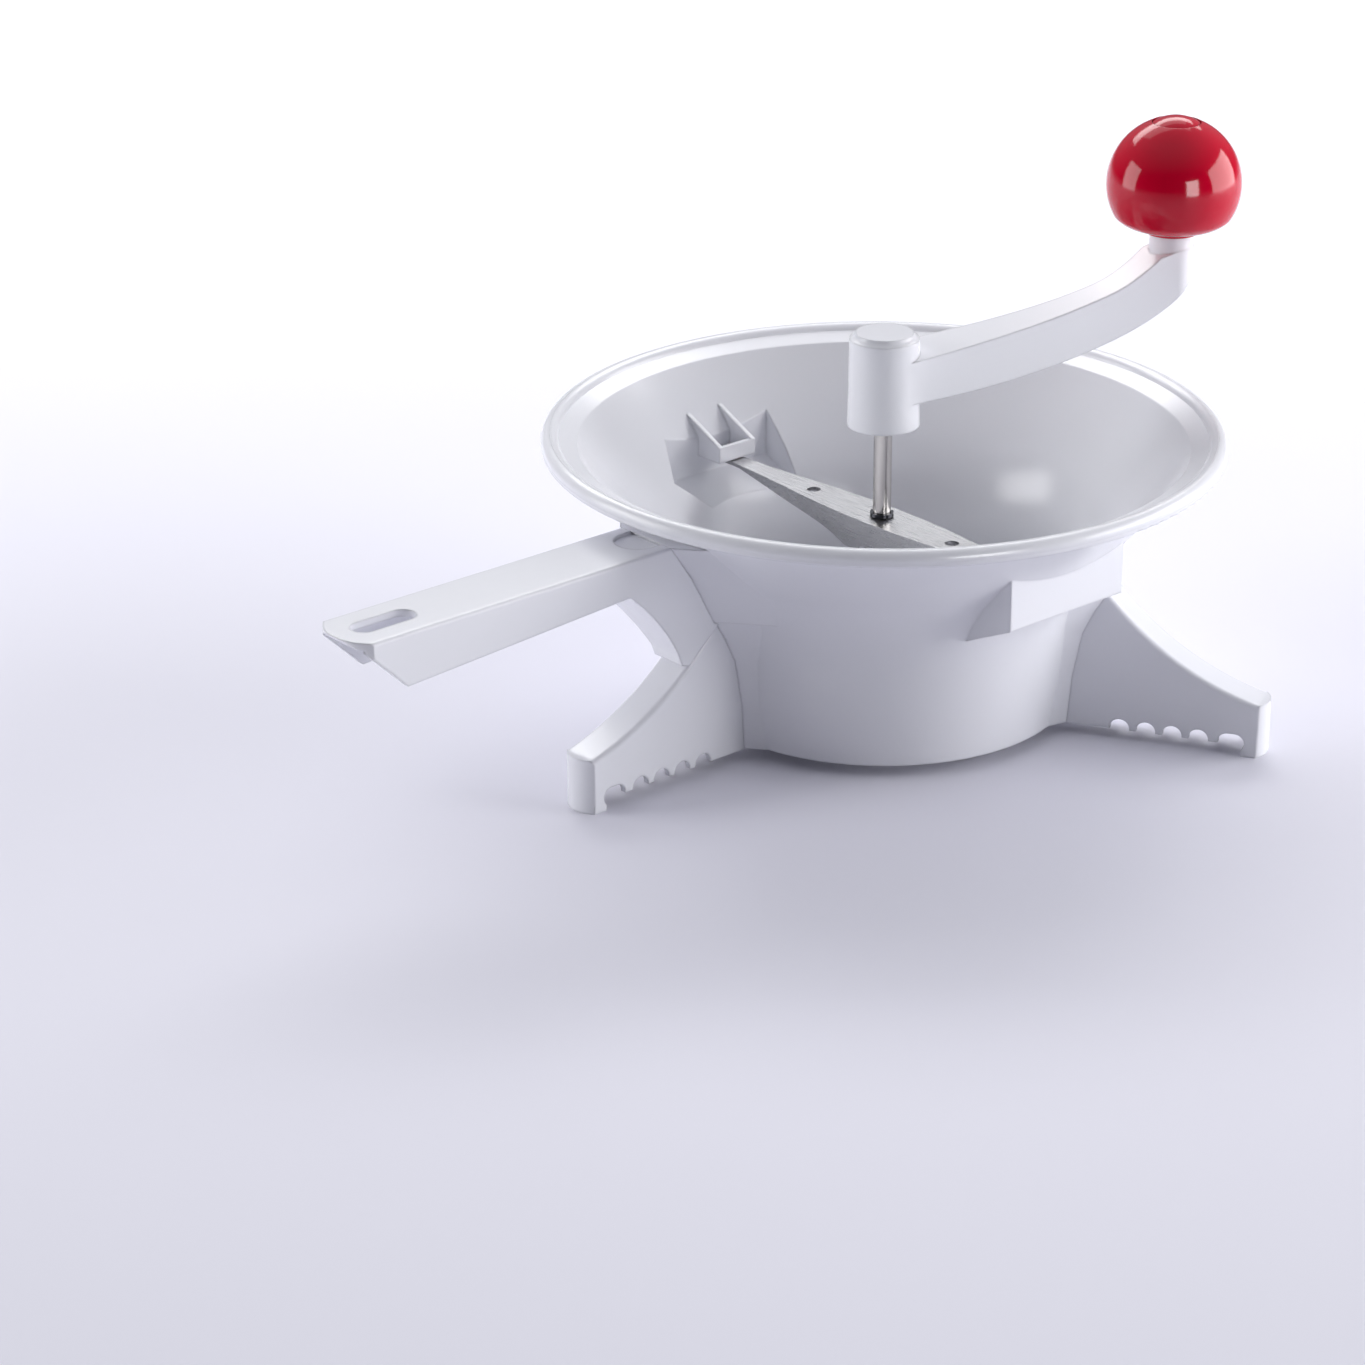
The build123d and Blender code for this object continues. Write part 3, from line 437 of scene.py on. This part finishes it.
@dataclass
class Recipe:
    """A Geometry Nodes tree with named inputs, made into a plain mesh."""

    name: str
    sizes: dict[str, float | int]
    tree: bpy.types.NodeTree = field(init=False)
    start: bpy.types.Node = field(init=False)
    keys: dict[str, str] = field(init=False, default_factory=dict)

    def __post_init__(self) -> None:
        """Starts the tree with an input socket for each size."""
        self.tree = bpy.data.node_groups.new(self.name, "GeometryNodeTree")
        sockets = self.tree.interface
        sockets.new_socket("Geometry", in_out="INPUT", socket_type="NodeSocketGeometry")
        for size, value in self.sizes.items():
            kind = "NodeSocketInt" if isinstance(value, int) else "NodeSocketFloat"
            self.keys[size] = sockets.new_socket(size, in_out="INPUT", socket_type=kind).identifier
        sockets.new_socket("Geometry", in_out="OUTPUT", socket_type="NodeSocketGeometry")
        self.start = add_node(self.tree, "NodeGroupInput")

    def size(self, name: str) -> bpy.types.NodeSocket:
        """Returns the socket of a named size."""
        return self.start.outputs[name]

    def end(self, geometry: bpy.types.Node, material: bpy.types.Material) -> None:
        """Ends the tree with real geometry in its material.

        Args:
            geometry: The node whose first output is what the tree has made.
            material: The material that it gets.
        """
        real = add_node(self.tree, "GeometryNodeRealizeInstances", {"Geometry": geometry})
        dressed = add_node(
            self.tree, "GeometryNodeSetMaterial", {"Geometry": real, "Material": material}
        )
        add_node(self.tree, "NodeGroupOutput", {"Geometry": dressed})

    def bake(self, base: bpy.types.Mesh, sharp_deg: float) -> bpy.types.Mesh:
        """Runs the tree on a base mesh.

        Args:
            base: The mesh that enters the tree.
            sharp_deg: Edges of the result that turn more than this stay sharp.

        Returns:
            The result as a plain mesh.
        """
        holder = bpy.data.objects.new(self.name, base)
        bpy.context.scene.collection.objects.link(holder)
        modifier = holder.modifiers.new(self.name, "NODES")
        modifier.node_group = self.tree
        for size, value in self.sizes.items():
            modifier[self.keys[size]] = value
        evaluated = holder.evaluated_get(bpy.context.evaluated_depsgraph_get())
        mesh = bpy.data.meshes.new_from_object(evaluated)
        holder.modifiers.remove(modifier)
        bpy.data.objects.remove(holder)
        return shade(mesh, sharp_deg)


# ---------------------------------------------------------------- sub-assemblies
@dataclass
class Bowl:
    """The bell-mouthed bowl with its rolled rim and pockets, and the disc in its base."""

    shop: Workshop
    sharp_deg: float = 13.0
    rim_radius_mm: float = 120.2
    bead_mm: tuple[float, float] = (3.3, 3.0)
    bead_sides: int = 20
    bead_steps: int = 180
    bead_sharp_deg: float = 60.0
    plate_mm: float = 0.8
    plate_sharp_deg: float = 40.0
    rim_bead_mm: float = 0.35
    hole_mm: float = 1.1
    hole_pitch_mm: float = 4.4
    blank_middle_mm: float = 7.0
    blank_edge_mm: float = 3.5
    shaft_hole_share: float = 0.63
    rows: int = 34
    hole_sides: int = 10
    turn_steps: int = 128

    def bead(self) -> bpy.types.Object:
        """Rolls the full round bead of the bowl's rim over the CAD's plainer one."""
        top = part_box("bowl")[1].z
        wide, high = (size * MM for size in self.bead_mm)
        turns = [i / self.bead_sides * math.tau for i in range(self.bead_sides)]
        middle = (self.rim_radius_mm * MM - wide, top - high)
        outline = [(middle[0] + wide * math.cos(a), middle[1] + high * math.sin(a)) for a in turns]
        mesh = spun("rim_bead", outline, self.bead_steps, closed=True)
        mesh.materials.append(self.shop.finish_of("bowl"))
        made = bpy.data.objects.new("rim_bead", shade(mesh, self.bead_sharp_deg))
        bpy.context.scene.collection.objects.link(made)
        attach(made, self.shop.body_of("bowl"))
        self.shop.slot_of("bowl")
        LOG.info("rim_bead: %d faces", len(mesh.polygons))
        return made

    def rim(self, radius: float, low: float, high: float) -> bpy.types.Mesh:
        """Makes the disc's upturned rim, with a rounded upper edge.

        Args:
            radius: Its outside radius.
            low: Height of the disc's underside.
            high: Height of the rim's upper edge.

        Returns:
            The rim's mesh.
        """
        wall = self.plate_mm * MM
        bead = self.rim_bead_mm * MM
        outline = [
            (radius - wall, low),
            (radius - bead, low),
            (radius, low + bead),
            (radius, high - bead),
            (radius - bead, high),
            (radius - wall + bead, high),
            (radius - wall, high - bead),
        ]
        return spun("sieve_rim", outline, self.turn_steps, closed=True)

    def hole_centres(self, recipe: Recipe) -> bpy.types.Node:
        """Sets out the disc's holes in staggered rows, without those near its middle and edge.

        Args:
            recipe: The disc's recipe, which names its sizes.

        Returns:
            The node whose first output is the holes' centres.
        """
        tree, size = recipe.tree, recipe.size
        # Each second row is moved by half a pitch, and rows stand 0.866 of a pitch apart.
        row_gap = add_node(
            tree, "ShaderNodeMath", {0: size("Pitch"), 1: math.sqrt(3) / 2}, operation="MULTIPLY"
        )
        steps = add_node(tree, "ShaderNodeMath", {0: size("Rows"), 1: 1.0}, operation="SUBTRACT")
        width, depth = (
            add_node(tree, "ShaderNodeMath", {0: steps, 1: gap}, operation="MULTIPLY")
            for gap in (size("Pitch"), row_gap)
        )
        grid = add_node(
            tree,
            "GeometryNodeMeshGrid",
            {
                "Size X": width,
                "Size Y": depth,
                "Vertices X": size("Rows"),
                "Vertices Y": size("Rows"),
            },
        )
        place = add_node(tree, "GeometryNodeInputPosition")
        across = add_node(tree, "ShaderNodeSeparateXYZ", {0: place}).outputs[1]
        rows_up = add_node(tree, "ShaderNodeMath", {0: across, 1: row_gap}, operation="DIVIDE")
        row = add_node(tree, "ShaderNodeMath", {0: rows_up}, operation="ROUND")
        rest = add_node(tree, "ShaderNodeMath", {0: row, 1: 2.0}, operation="MODULO")
        odd = add_node(tree, "ShaderNodeMath", {0: rest}, operation="ABSOLUTE")
        half = add_node(tree, "ShaderNodeMath", {0: size("Pitch"), 1: 0.5}, operation="MULTIPLY")
        shift = add_node(tree, "ShaderNodeMath", {0: odd, 1: half}, operation="MULTIPLY")
        offset = add_node(tree, "ShaderNodeCombineXYZ", {"X": shift})
        moved = add_node(
            tree,
            "GeometryNodeSetPosition",
            {"Geometry": grid.outputs["Mesh"], "Offset": offset},
        )
        length = add_node(tree, "ShaderNodeVectorMath", {0: place}, operation="LENGTH")
        away = length.outputs["Value"]
        limit = add_node(
            tree, "ShaderNodeMath", {0: size("Radius"), 1: size("Blank edge")}, operation="SUBTRACT"
        )
        outside = add_node(tree, "ShaderNodeMath", {0: away, 1: limit}, operation="GREATER_THAN")
        middle = add_node(
            tree, "ShaderNodeMath", {0: away, 1: size("Blank middle")}, operation="LESS_THAN"
        )
        either = add_node(tree, "ShaderNodeMath", {0: outside, 1: middle}, operation="MAXIMUM")
        return add_node(
            tree,
            "GeometryNodeDeleteGeometry",
            {"Geometry": moved, "Selection": either},
            domain="POINT",
        )

    def perforated(self, recipe: Recipe) -> bpy.types.Node:
        """Punches the holes in the disc's plate, and gives it its thickness and height.

        Args:
            recipe: The disc's recipe, which names its sizes.

        Returns:
            The node whose first output is the plate.
        """
        tree, size = recipe.tree, recipe.size
        hole = add_node(
            tree,
            "GeometryNodeCurvePrimitiveCircle",
            {"Resolution": size("Hole sides"), "Radius": size("Hole radius")},
        )
        holes = add_node(
            tree,
            "GeometryNodeInstanceOnPoints",
            {"Points": self.hole_centres(recipe), "Instance": hole},
        )
        outlines = [add_node(tree, "GeometryNodeRealizeInstances", {"Geometry": holes})]
        outlines += [
            add_node(
                tree,
                "GeometryNodeCurvePrimitiveCircle",
                {"Resolution": size("Turn steps"), "Radius": size(name)},
            )
            for name in ("Radius", "Shaft hole")
        ]
        outline = add_node(tree, "GeometryNodeJoinGeometry", {0: outlines})
        sheet = add_node(tree, "GeometryNodeFillCurve", {"Curve": outline})
        rise = add_node(tree, "ShaderNodeCombineXYZ", {"Z": size("Thickness")})
        raised = add_node(
            tree,
            "GeometryNodeExtrudeMesh",
            {"Mesh": sheet, "Offset": rise, "Offset Scale": 1.0, "Individual": False},
        )
        under = add_node(tree, "GeometryNodeFlipFaces", {"Mesh": sheet})
        both = add_node(tree, "GeometryNodeJoinGeometry", {0: [raised, under]})
        body = add_node(
            tree, "GeometryNodeMergeByDistance", {"Geometry": both, "Distance": CLOSE_MM * MM}
        )
        lift = add_node(tree, "ShaderNodeCombineXYZ", {"Z": size("Height")})
        return add_node(
            tree, "GeometryNodeTransform", {"Geometry": body, "Translation": lift}
        )

    def sieve(self) -> bpy.types.Object:
        """Makes the perforated disc: a plate with rows of fine holes inside an upturned rim."""
        low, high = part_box("sieve_disc")
        plate = self.plate_mm * MM
        sizes = {
            "Radius": high.x - plate,
            "Thickness": plate,
            "Height": low.z,
            "Hole radius": self.hole_mm * MM,
            "Pitch": self.hole_pitch_mm * MM,
            "Blank middle": self.blank_middle_mm * MM,
            "Blank edge": self.blank_edge_mm * MM,
            "Shaft hole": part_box("crank_shaft")[1].x * self.shaft_hole_share,
            "Rows": self.rows,
            "Hole sides": self.hole_sides,
            "Turn steps": self.turn_steps,
        }
        recipe = Recipe("sieve_plate", sizes)
        parts = [self.perforated(recipe), recipe.start]
        whole = add_node(recipe.tree, "GeometryNodeJoinGeometry", {0: parts})
        recipe.end(whole, self.shop.finish_of("sieve_disc"))
        mesh = recipe.bake(self.rim(high.x, low.z, high.z), self.plate_sharp_deg)
        return self.shop.piece("sieve_plate", mesh, "sieve_disc")

    def build(self) -> None:
        """Builds the bowl and its disc."""
        self.shop.skin("bowl", self.sharp_deg)
        self.bead()
        self.sieve()


@dataclass
class Legs:
    """The three curved legs. The edges of their backs are rounded, as the mould leaves them."""

    shop: Workshop
    azimuths: dict[str, float] = field(
        default_factory=lambda: {"leg_front": 180.0, "leg_right": 300.0, "leg_back": 60.0}
    )
    half_mm: float = 7.3
    half_slack_mm: float = 0.05
    side_facing: float = 0.98
    back_rise: float = 0.2
    back_outward: float = 0.05
    round_mm: float = 1.7
    round_steps: int = 4
    flat_deg: float = 0.4
    sharp_deg: float = 24.0

    def back_edges(self, work: bmesh.types.BMesh, azimuth: float) -> list[bmesh.types.BMEdge]:
        """Finds the edges between a leg's sides and its back.

        Args:
            work: The leg's merged mesh.
            azimuth: The direction that the leg points in, in degrees.

        Returns:
            Those edges.
        """
        turn = math.radians(azimuth)
        out = Vector((math.cos(turn), math.sin(turn), 0.0))
        left = Vector((-out.y, out.x, 0.0))
        half, slack = self.half_mm * MM, self.half_slack_mm * MM
        found = []
        for edge in work.edges:
            on_side = all(abs(abs(v.co.dot(left)) - half) <= slack for v in edge.verts)
            if len(edge.link_faces) != 2 or not on_side:
                continue
            side, back = sorted(edge.link_faces, key=lambda face: -abs(face.normal.dot(left)))
            faces_up = back.normal.z > self.back_rise
            faces_out = back.normal.dot(out) > self.back_outward
            if abs(side.normal.dot(left)) > self.side_facing and faces_up and faces_out:
                found.append(edge)
        return found

    def build(self) -> None:
        """Builds each leg with its back's edges rounded."""
        for node, azimuth in self.azimuths.items():
            work = self.shop.merged(node)
            bmesh.ops.dissolve_limit(
                work, angle_limit=math.radians(self.flat_deg), verts=work.verts, edges=work.edges
            )
            bmesh.ops.bevel(
                work,
                geom=self.back_edges(work, azimuth),
                offset=self.round_mm * MM,
                offset_type="OFFSET",
                segments=self.round_steps,
                profile=0.5,
                affect="EDGES",
            )
            made = self.shop.skin(node, self.sharp_deg, work)
            weigh = made.modifiers.new("flat sides", "WEIGHTED_NORMAL")
            weigh.keep_sharp = True


@dataclass
class Handle:
    """The long handle, a channel that is open below, with its hanging slot."""

    shop: Workshop
    sharp_deg: float = 24.0

    def build(self) -> None:
        """Builds the handle."""
        self.shop.skin("handle", self.sharp_deg)


@dataclass
class Mechanism:
    """The sprung bar, the shaft with its ring, and the blade with its boss and rivets."""

    shop: Workshop
    sharp_deg: float = 30.0
    wire_mm: float = 0.8
    coil_mm: float = 5.6
    turns: float = 10.0
    closed_turns: float = 1.0
    steps_a_turn: int = 28
    wire_sides: int = 12
    wire_sharp_deg: float = 50.0
    press_mm: float = 4.0
    rivet_mm: float = 1.4
    head_mm: float = 2.2
    head_height_mm: float = 0.8
    rivet_circle_mm: float = 8.3
    rivets: int = 4
    rivet_steps: int = 20
    rivet_sharp_deg: float = 50.0
    skins: tuple[str, ...] = (
        "crossbar",
        "crank_shaft",
        "retaining_ring",
        "upper_washer",
        "lower_washer",
        "blade_boss",
        "cross_pin",
        "masher_blade",
    )

    def spring(self) -> bpy.types.Object:
        """Winds the spring, whose first and last turn lie closed on the washers."""
        low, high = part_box("shaft_spring")
        sizes = {
            "Wire radius": self.wire_mm * MM,
            "Coil radius": self.coil_mm * MM,
            "Length": high.z - low.z - 2 * self.wire_mm * MM,
            "Height": low.z + self.wire_mm * MM,
            "Turns": self.turns,
            "Closed turns": self.closed_turns,
            "Steps": self.steps_a_turn,
            "Sides": self.wire_sides,
        }
        recipe = Recipe("shaft_spring_coil", sizes)
        tree, size = recipe.tree, recipe.size
        flat = add_node(
            tree,
            "GeometryNodeCurveSpiral",
            {
                "Resolution": size("Steps"),
                "Rotations": size("Turns"),
                "Start Radius": size("Coil radius"),
                "End Radius": size("Coil radius"),
                "Height": 0.0,
            },
        )
        along = add_node(tree, "GeometryNodeSplineParameter").outputs["Factor"]
        # The closed turns at each end rise by one wire, and the open ones share what is left.
        share = add_node(
            tree, "ShaderNodeMath", {0: size("Closed turns"), 1: size("Turns")}, operation="DIVIDE"
        )
        rest = add_node(tree, "ShaderNodeMath", {0: 1.0, 1: share}, operation="SUBTRACT")
        wire = add_node(
            tree, "ShaderNodeMath", {0: size("Wire radius"), 1: 2.0}, operation="MULTIPLY"
        )
        dead = add_node(
            tree, "ShaderNodeMath", {0: wire, 1: size("Closed turns")}, operation="MULTIPLY"
        )
        ends = add_node(tree, "ShaderNodeMath", {0: dead, 1: 2.0}, operation="MULTIPLY")
        live = add_node(tree, "ShaderNodeMath", {0: size("Length"), 1: ends}, operation="SUBTRACT")
        height = size("Height")
        for start, stop, rise in ((0.0, share, dead), (share, rest, live), (rest, 1.0, dead)):
            part = add_node(
                tree, "ShaderNodeMapRange", {0: along, 1: start, 2: stop, 3: 0.0, 4: rise}
            )
            height = add_node(tree, "ShaderNodeMath", {0: height, 1: part}, operation="ADD")
        lift = add_node(tree, "ShaderNodeCombineXYZ", {"Z": height})
        coil = add_node(tree, "GeometryNodeSetPosition", {"Geometry": flat, "Offset": lift})
        section = add_node(
            tree,
            "GeometryNodeCurvePrimitiveCircle",
            {"Resolution": size("Sides"), "Radius": size("Wire radius")},
        )
        wound = add_node(
            tree,
            "GeometryNodeCurveToMesh",
            {"Curve": coil, "Profile Curve": section, "Fill Caps": True},
        )
        recipe.end(wound, self.shop.finish_of("shaft_spring"))
        mesh = recipe.bake(bpy.data.meshes.new("shaft_spring_start"), self.wire_sharp_deg)
        made = self.shop.piece("shaft_spring_coil", mesh, "shaft_spring")
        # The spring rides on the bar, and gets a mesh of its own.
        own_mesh(made)
        return made

    def rivet_heads(self) -> bpy.types.Object:
        """Sets the four domed rivets in a ring round the boss."""
        low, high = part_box("blade_rivets")
        head = self.head_height_mm * MM
        radius = self.head_mm * MM
        upper = cap_arc(radius, high.z - head, high.z)
        lower = [(r, low.z + high.z - z) for r, z in reversed(upper)]
        shank = [(self.rivet_mm * MM, high.z - head), (self.rivet_mm * MM, low.z + head)]
        sizes = {"Circle radius": self.rivet_circle_mm * MM, "Rivets": self.rivets}
        recipe = Recipe("blade_rivet_ring", sizes)
        tree, size = recipe.tree, recipe.size
        ring = add_node(
            tree,
            "GeometryNodeMeshCircle",
            {"Vertices": size("Rivets"), "Radius": size("Circle radius")},
        )
        half_step = add_node(
            tree, "ShaderNodeMath", {0: math.pi, 1: size("Rivets")}, operation="DIVIDE"
        )
        turn = add_node(tree, "ShaderNodeCombineXYZ", {"Z": half_step})
        turned = add_node(tree, "GeometryNodeTransform", {"Geometry": ring, "Rotation": turn})
        placed = add_node(
            tree, "GeometryNodeInstanceOnPoints", {"Points": turned, "Instance": recipe.start}
        )
        recipe.end(placed, self.shop.finish_of("blade_rivets"))
        rivet = spun("blade_rivet", [*upper, *shank, *lower], self.rivet_steps)
        mesh = recipe.bake(rivet, self.rivet_sharp_deg)
        return self.shop.piece("blade_rivet_ring", mesh, "blade_rivets")

    def build(self) -> None:
        """Builds the mechanism."""
        for node in self.skins:
            self.shop.skin(node, self.sharp_deg)
        self.spring()
        self.rivet_heads()


@dataclass
class Crank:
    """The rising crank arm, whose back sweeps up to the foot of the knob's collar."""

    shop: Workshop
    sharp_deg: float = 26.0
    azimuth_deg: float = -18.7
    end_top_mm: float = 158.3
    sweep_start_mm: tuple[float, float] = (86.0, 144.7)
    back_end_mm: tuple[float, float] = (104.0, 151.3)
    lift_mm: float = 4.2
    end_slope: float = 0.25
    foot_mm: float = 157.4
    end_slack_mm: float = 0.05
    back_slack_mm: float = 0.45
    past_end_mm: float = 0.1
    weld_mm: float = 0.02

    def back(self, along: float, lifted: bool) -> float:
        """Height of the arm's back.

        Args:
            along: Distance out from the shaft's axis, in millimetres.
            lifted: Whether the sweep up to the collar is added.

        Returns:
            The height in millimetres.
        """
        (start, low), (end, high) = self.sweep_start_mm, self.back_end_mm
        share = min(max((along - start) / (end - start), 0.0), 1.0)
        height = low + share * (high - low)
        if lifted:
            height += self.lift_mm * share**2 + self.end_slope * max(along - end, 0.0)
        return min(height, self.foot_mm)

    def sweep_end(self, work: bmesh.types.BMesh) -> None:
        """Sweeps the arm's back up to the foot of the knob's collar, in place of its flat end."""
        azimuth = math.radians(self.azimuth_deg)
        out = Vector((math.cos(azimuth), math.sin(azimuth), 0.0))
        start, end = self.sweep_start_mm[0], self.back_end_mm[0]
        for corner in work.verts:
            along, height = corner.co.dot(out) / MM, corner.co.z / MM
            on_end = abs(height - self.end_top_mm) < self.end_slack_mm
            in_sweep = start < along < end + self.past_end_mm
            on_back = abs(height - self.back(along, False)) < self.back_slack_mm
            if on_end or (in_sweep and on_back):
                corner.co.z = self.back(along, True) * MM
        bmesh.ops.remove_doubles(work, verts=work.verts, dist=self.weld_mm * MM)

    def build(self) -> None:
        """Builds the crank arm."""
        work = self.shop.merged("crank_arm")
        self.sweep_end(work)
        self.shop.skin("crank_arm", self.sharp_deg, work)


@dataclass
class Knob:
    """The red ball knob with its plug, and the axle screw and washer inside it."""

    shop: Workshop
    sharp_deg: float = 30.0
    skins: tuple[str, ...] = ("knob", "knob_cap", "knob_screw", "knob_washer")

    def build(self) -> None:
        """Builds the knob."""
        for node in self.skins:
            self.shop.skin(node, self.sharp_deg)


# ---------------------------------------------------------------- studio
@dataclass(frozen=True)
class SoftBox:
    """One soft box. Its azimuth runs anticlockwise from the right of the picture."""

    name: str
    azimuth_deg: float
    rise_deg: float
    distance_m: float
    size_m: tuple[float, float]
    power_w: float
    aim: Point = (0.0, 0.0, 0.08)
    only_gloss: bool = False


@dataclass
class Studio:
    """Pale floor, soft lights, and the camera at the photograph's angle."""

    frame_px: float = 1365.0
    focal_px: float = 4000.0
    sensor_mm: float = 36.0
    pitch_deg: float = 23.445
    roll_deg: float = -0.274
    heading_deg: float = -40.7
    distance_mm: float = 1441.3
    aim_mm: Point = (-70.79, 0.0, 7.04)
    near_m: float = 0.05
    far_m: float = 50.0
    floor_m: float = 12.0
    floor_colour: str = "#e4e3ed"
    floor_roughness: float = 0.6
    floor_gloss: float = 0.2
    boxes: tuple[SoftBox, ...] = (
        SoftBox("right window", 0.0, 12.0, 1.5, (1.5, 1.0), 27.0),
        SoftBox("left window", 180.0, 14.0, 1.4, (0.75, 0.9), 10.0),
        SoftBox("front window", -61.0, 9.0, 1.5, (0.55, 0.68), 12.0, only_gloss=True),
        SoftBox("back light", 95.0, 48.0, 1.9, (1.6, 1.0), 6.0),
        SoftBox("background light", 90.0, 89.0, 1.0, (1.6, 0.7), 15.0, aim=(-0.1, 1.15, 0.0)),
    )
    world_colour: str = "#e9ebf3"
    world_low: float = 0.03
    world_high: float = 0.6
    world_span: tuple[float, float] = (0.15, 0.9)
    world_ahead: float = 0.4

    def camera(self) -> None:
        """Places the camera."""
        data = bpy.data.cameras.new("camera")
        data.sensor_width = self.sensor_mm
        data.lens = self.focal_px / self.frame_px * self.sensor_mm
        data.clip_start = self.near_m
        data.clip_end = self.far_m
        turn = Matrix.Rotation(math.radians(self.heading_deg), 4, "Z")
        tilt = Matrix.Rotation(math.radians(90.0 - self.pitch_deg), 4, "X")
        roll = Matrix.Rotation(math.radians(self.roll_deg), 4, "Z")
        look = tilt.to_3x3() @ Vector((0, 0, -1))
        place = Vector(self.aim_mm) * MM - look * self.distance_mm * MM
        holder = bpy.data.objects.new("camera", data)
        holder.matrix_world = turn @ Matrix.Translation(place) @ tilt @ roll
        bpy.context.scene.collection.objects.link(holder)
        bpy.context.scene.camera = holder

    def floor(self) -> None:
        """Lays the floor in the plane of the leg tips."""
        half = self.floor_m / 2
        corners = [(-half, -half, 0), (half, -half, 0), (half, half, 0), (-half, half, 0)]
        mesh = bpy.data.meshes.new("floor")
        mesh.from_pydata(corners, [], [(0, 1, 2, 3)])
        material = bpy.data.materials.new("pale studio paper")
        material.use_nodes = True
        shader = material.node_tree.nodes["Principled BSDF"]
        shader.inputs["Base Color"].default_value = linear(self.floor_colour)
        shader.inputs["Roughness"].default_value = self.floor_roughness
        shader.inputs["Specular IOR Level"].default_value = self.floor_gloss
        mesh.materials.append(material)
        holder = bpy.data.objects.new("floor", mesh)
        bpy.context.scene.collection.objects.link(holder)

    def hang(self, box: SoftBox) -> None:
        """Adds one soft box that faces the strainer."""
        data = bpy.data.lights.new(box.name, "AREA")
        data.shape = "RECTANGLE"
        data.size, data.size_y = box.size_m
        data.energy = box.power_w
        holder = bpy.data.objects.new(box.name, data)
        azimuth = math.radians(box.azimuth_deg)
        rise = math.radians(box.rise_deg)
        flat = box.distance_m * math.cos(rise)
        turn = Matrix.Rotation(math.radians(self.heading_deg), 3, "Z")
        away = turn @ Vector(
            (flat * math.cos(azimuth), flat * math.sin(azimuth), box.distance_m * math.sin(rise))
        )
        holder.location = turn @ Vector(box.aim) + away
        holder.rotation_euler = (-away).to_track_quat("-Z", "Y").to_euler()
        holder.visible_diffuse = not box.only_gloss
        bpy.context.scene.collection.objects.link(holder)

    def surroundings(self) -> None:
        """Lights the surroundings: a bright ceiling, and darkness low down on the camera's side."""
        world = bpy.data.worlds.new("studio")
        world.use_nodes = True
        tree = world.node_tree
        toward = add_node(tree, "ShaderNodeTexCoord").outputs["Generated"]
        ahead = math.radians(90.0 + self.heading_deg)
        aim = (self.world_ahead * math.cos(ahead), self.world_ahead * math.sin(ahead), 1.0)
        dark, bright = self.world_span
        depth = add_node(tree, "ShaderNodeVectorMath", {0: toward, 1: aim}, operation="DOT_PRODUCT")
        strength = add_node(
            tree,
            "ShaderNodeMapRange",
            {0: depth.outputs["Value"], 1: dark, 2: bright, 3: self.world_low, 4: self.world_high},
        )
        back = tree.nodes["Background"]
        back.inputs["Color"].default_value = linear(self.world_colour)
        tree.links.new(strength.outputs[0], back.inputs["Strength"])
        bpy.context.scene.world = world

    def build(self) -> None:
        """Sets up the whole studio."""
        self.camera()
        self.floor()
        for box in self.boxes:
            self.hang(box)
        self.surroundings()
        bpy.context.scene.view_settings.view_transform = "Standard"
        LOG.info("studio ready")


def main() -> None:
    """Builds the strainer's sub-assemblies in order, then the studio."""
    logging.basicConfig(level=logging.INFO, format="%(name)s: %(message)s")
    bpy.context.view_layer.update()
    shop = Workshop()
    for part in (Bowl(shop), Legs(shop), Handle(shop), Mechanism(shop), Crank(shop), Knob(shop)):
        part.build()
    Studio().build()


if __name__ == "__main__":
    main()
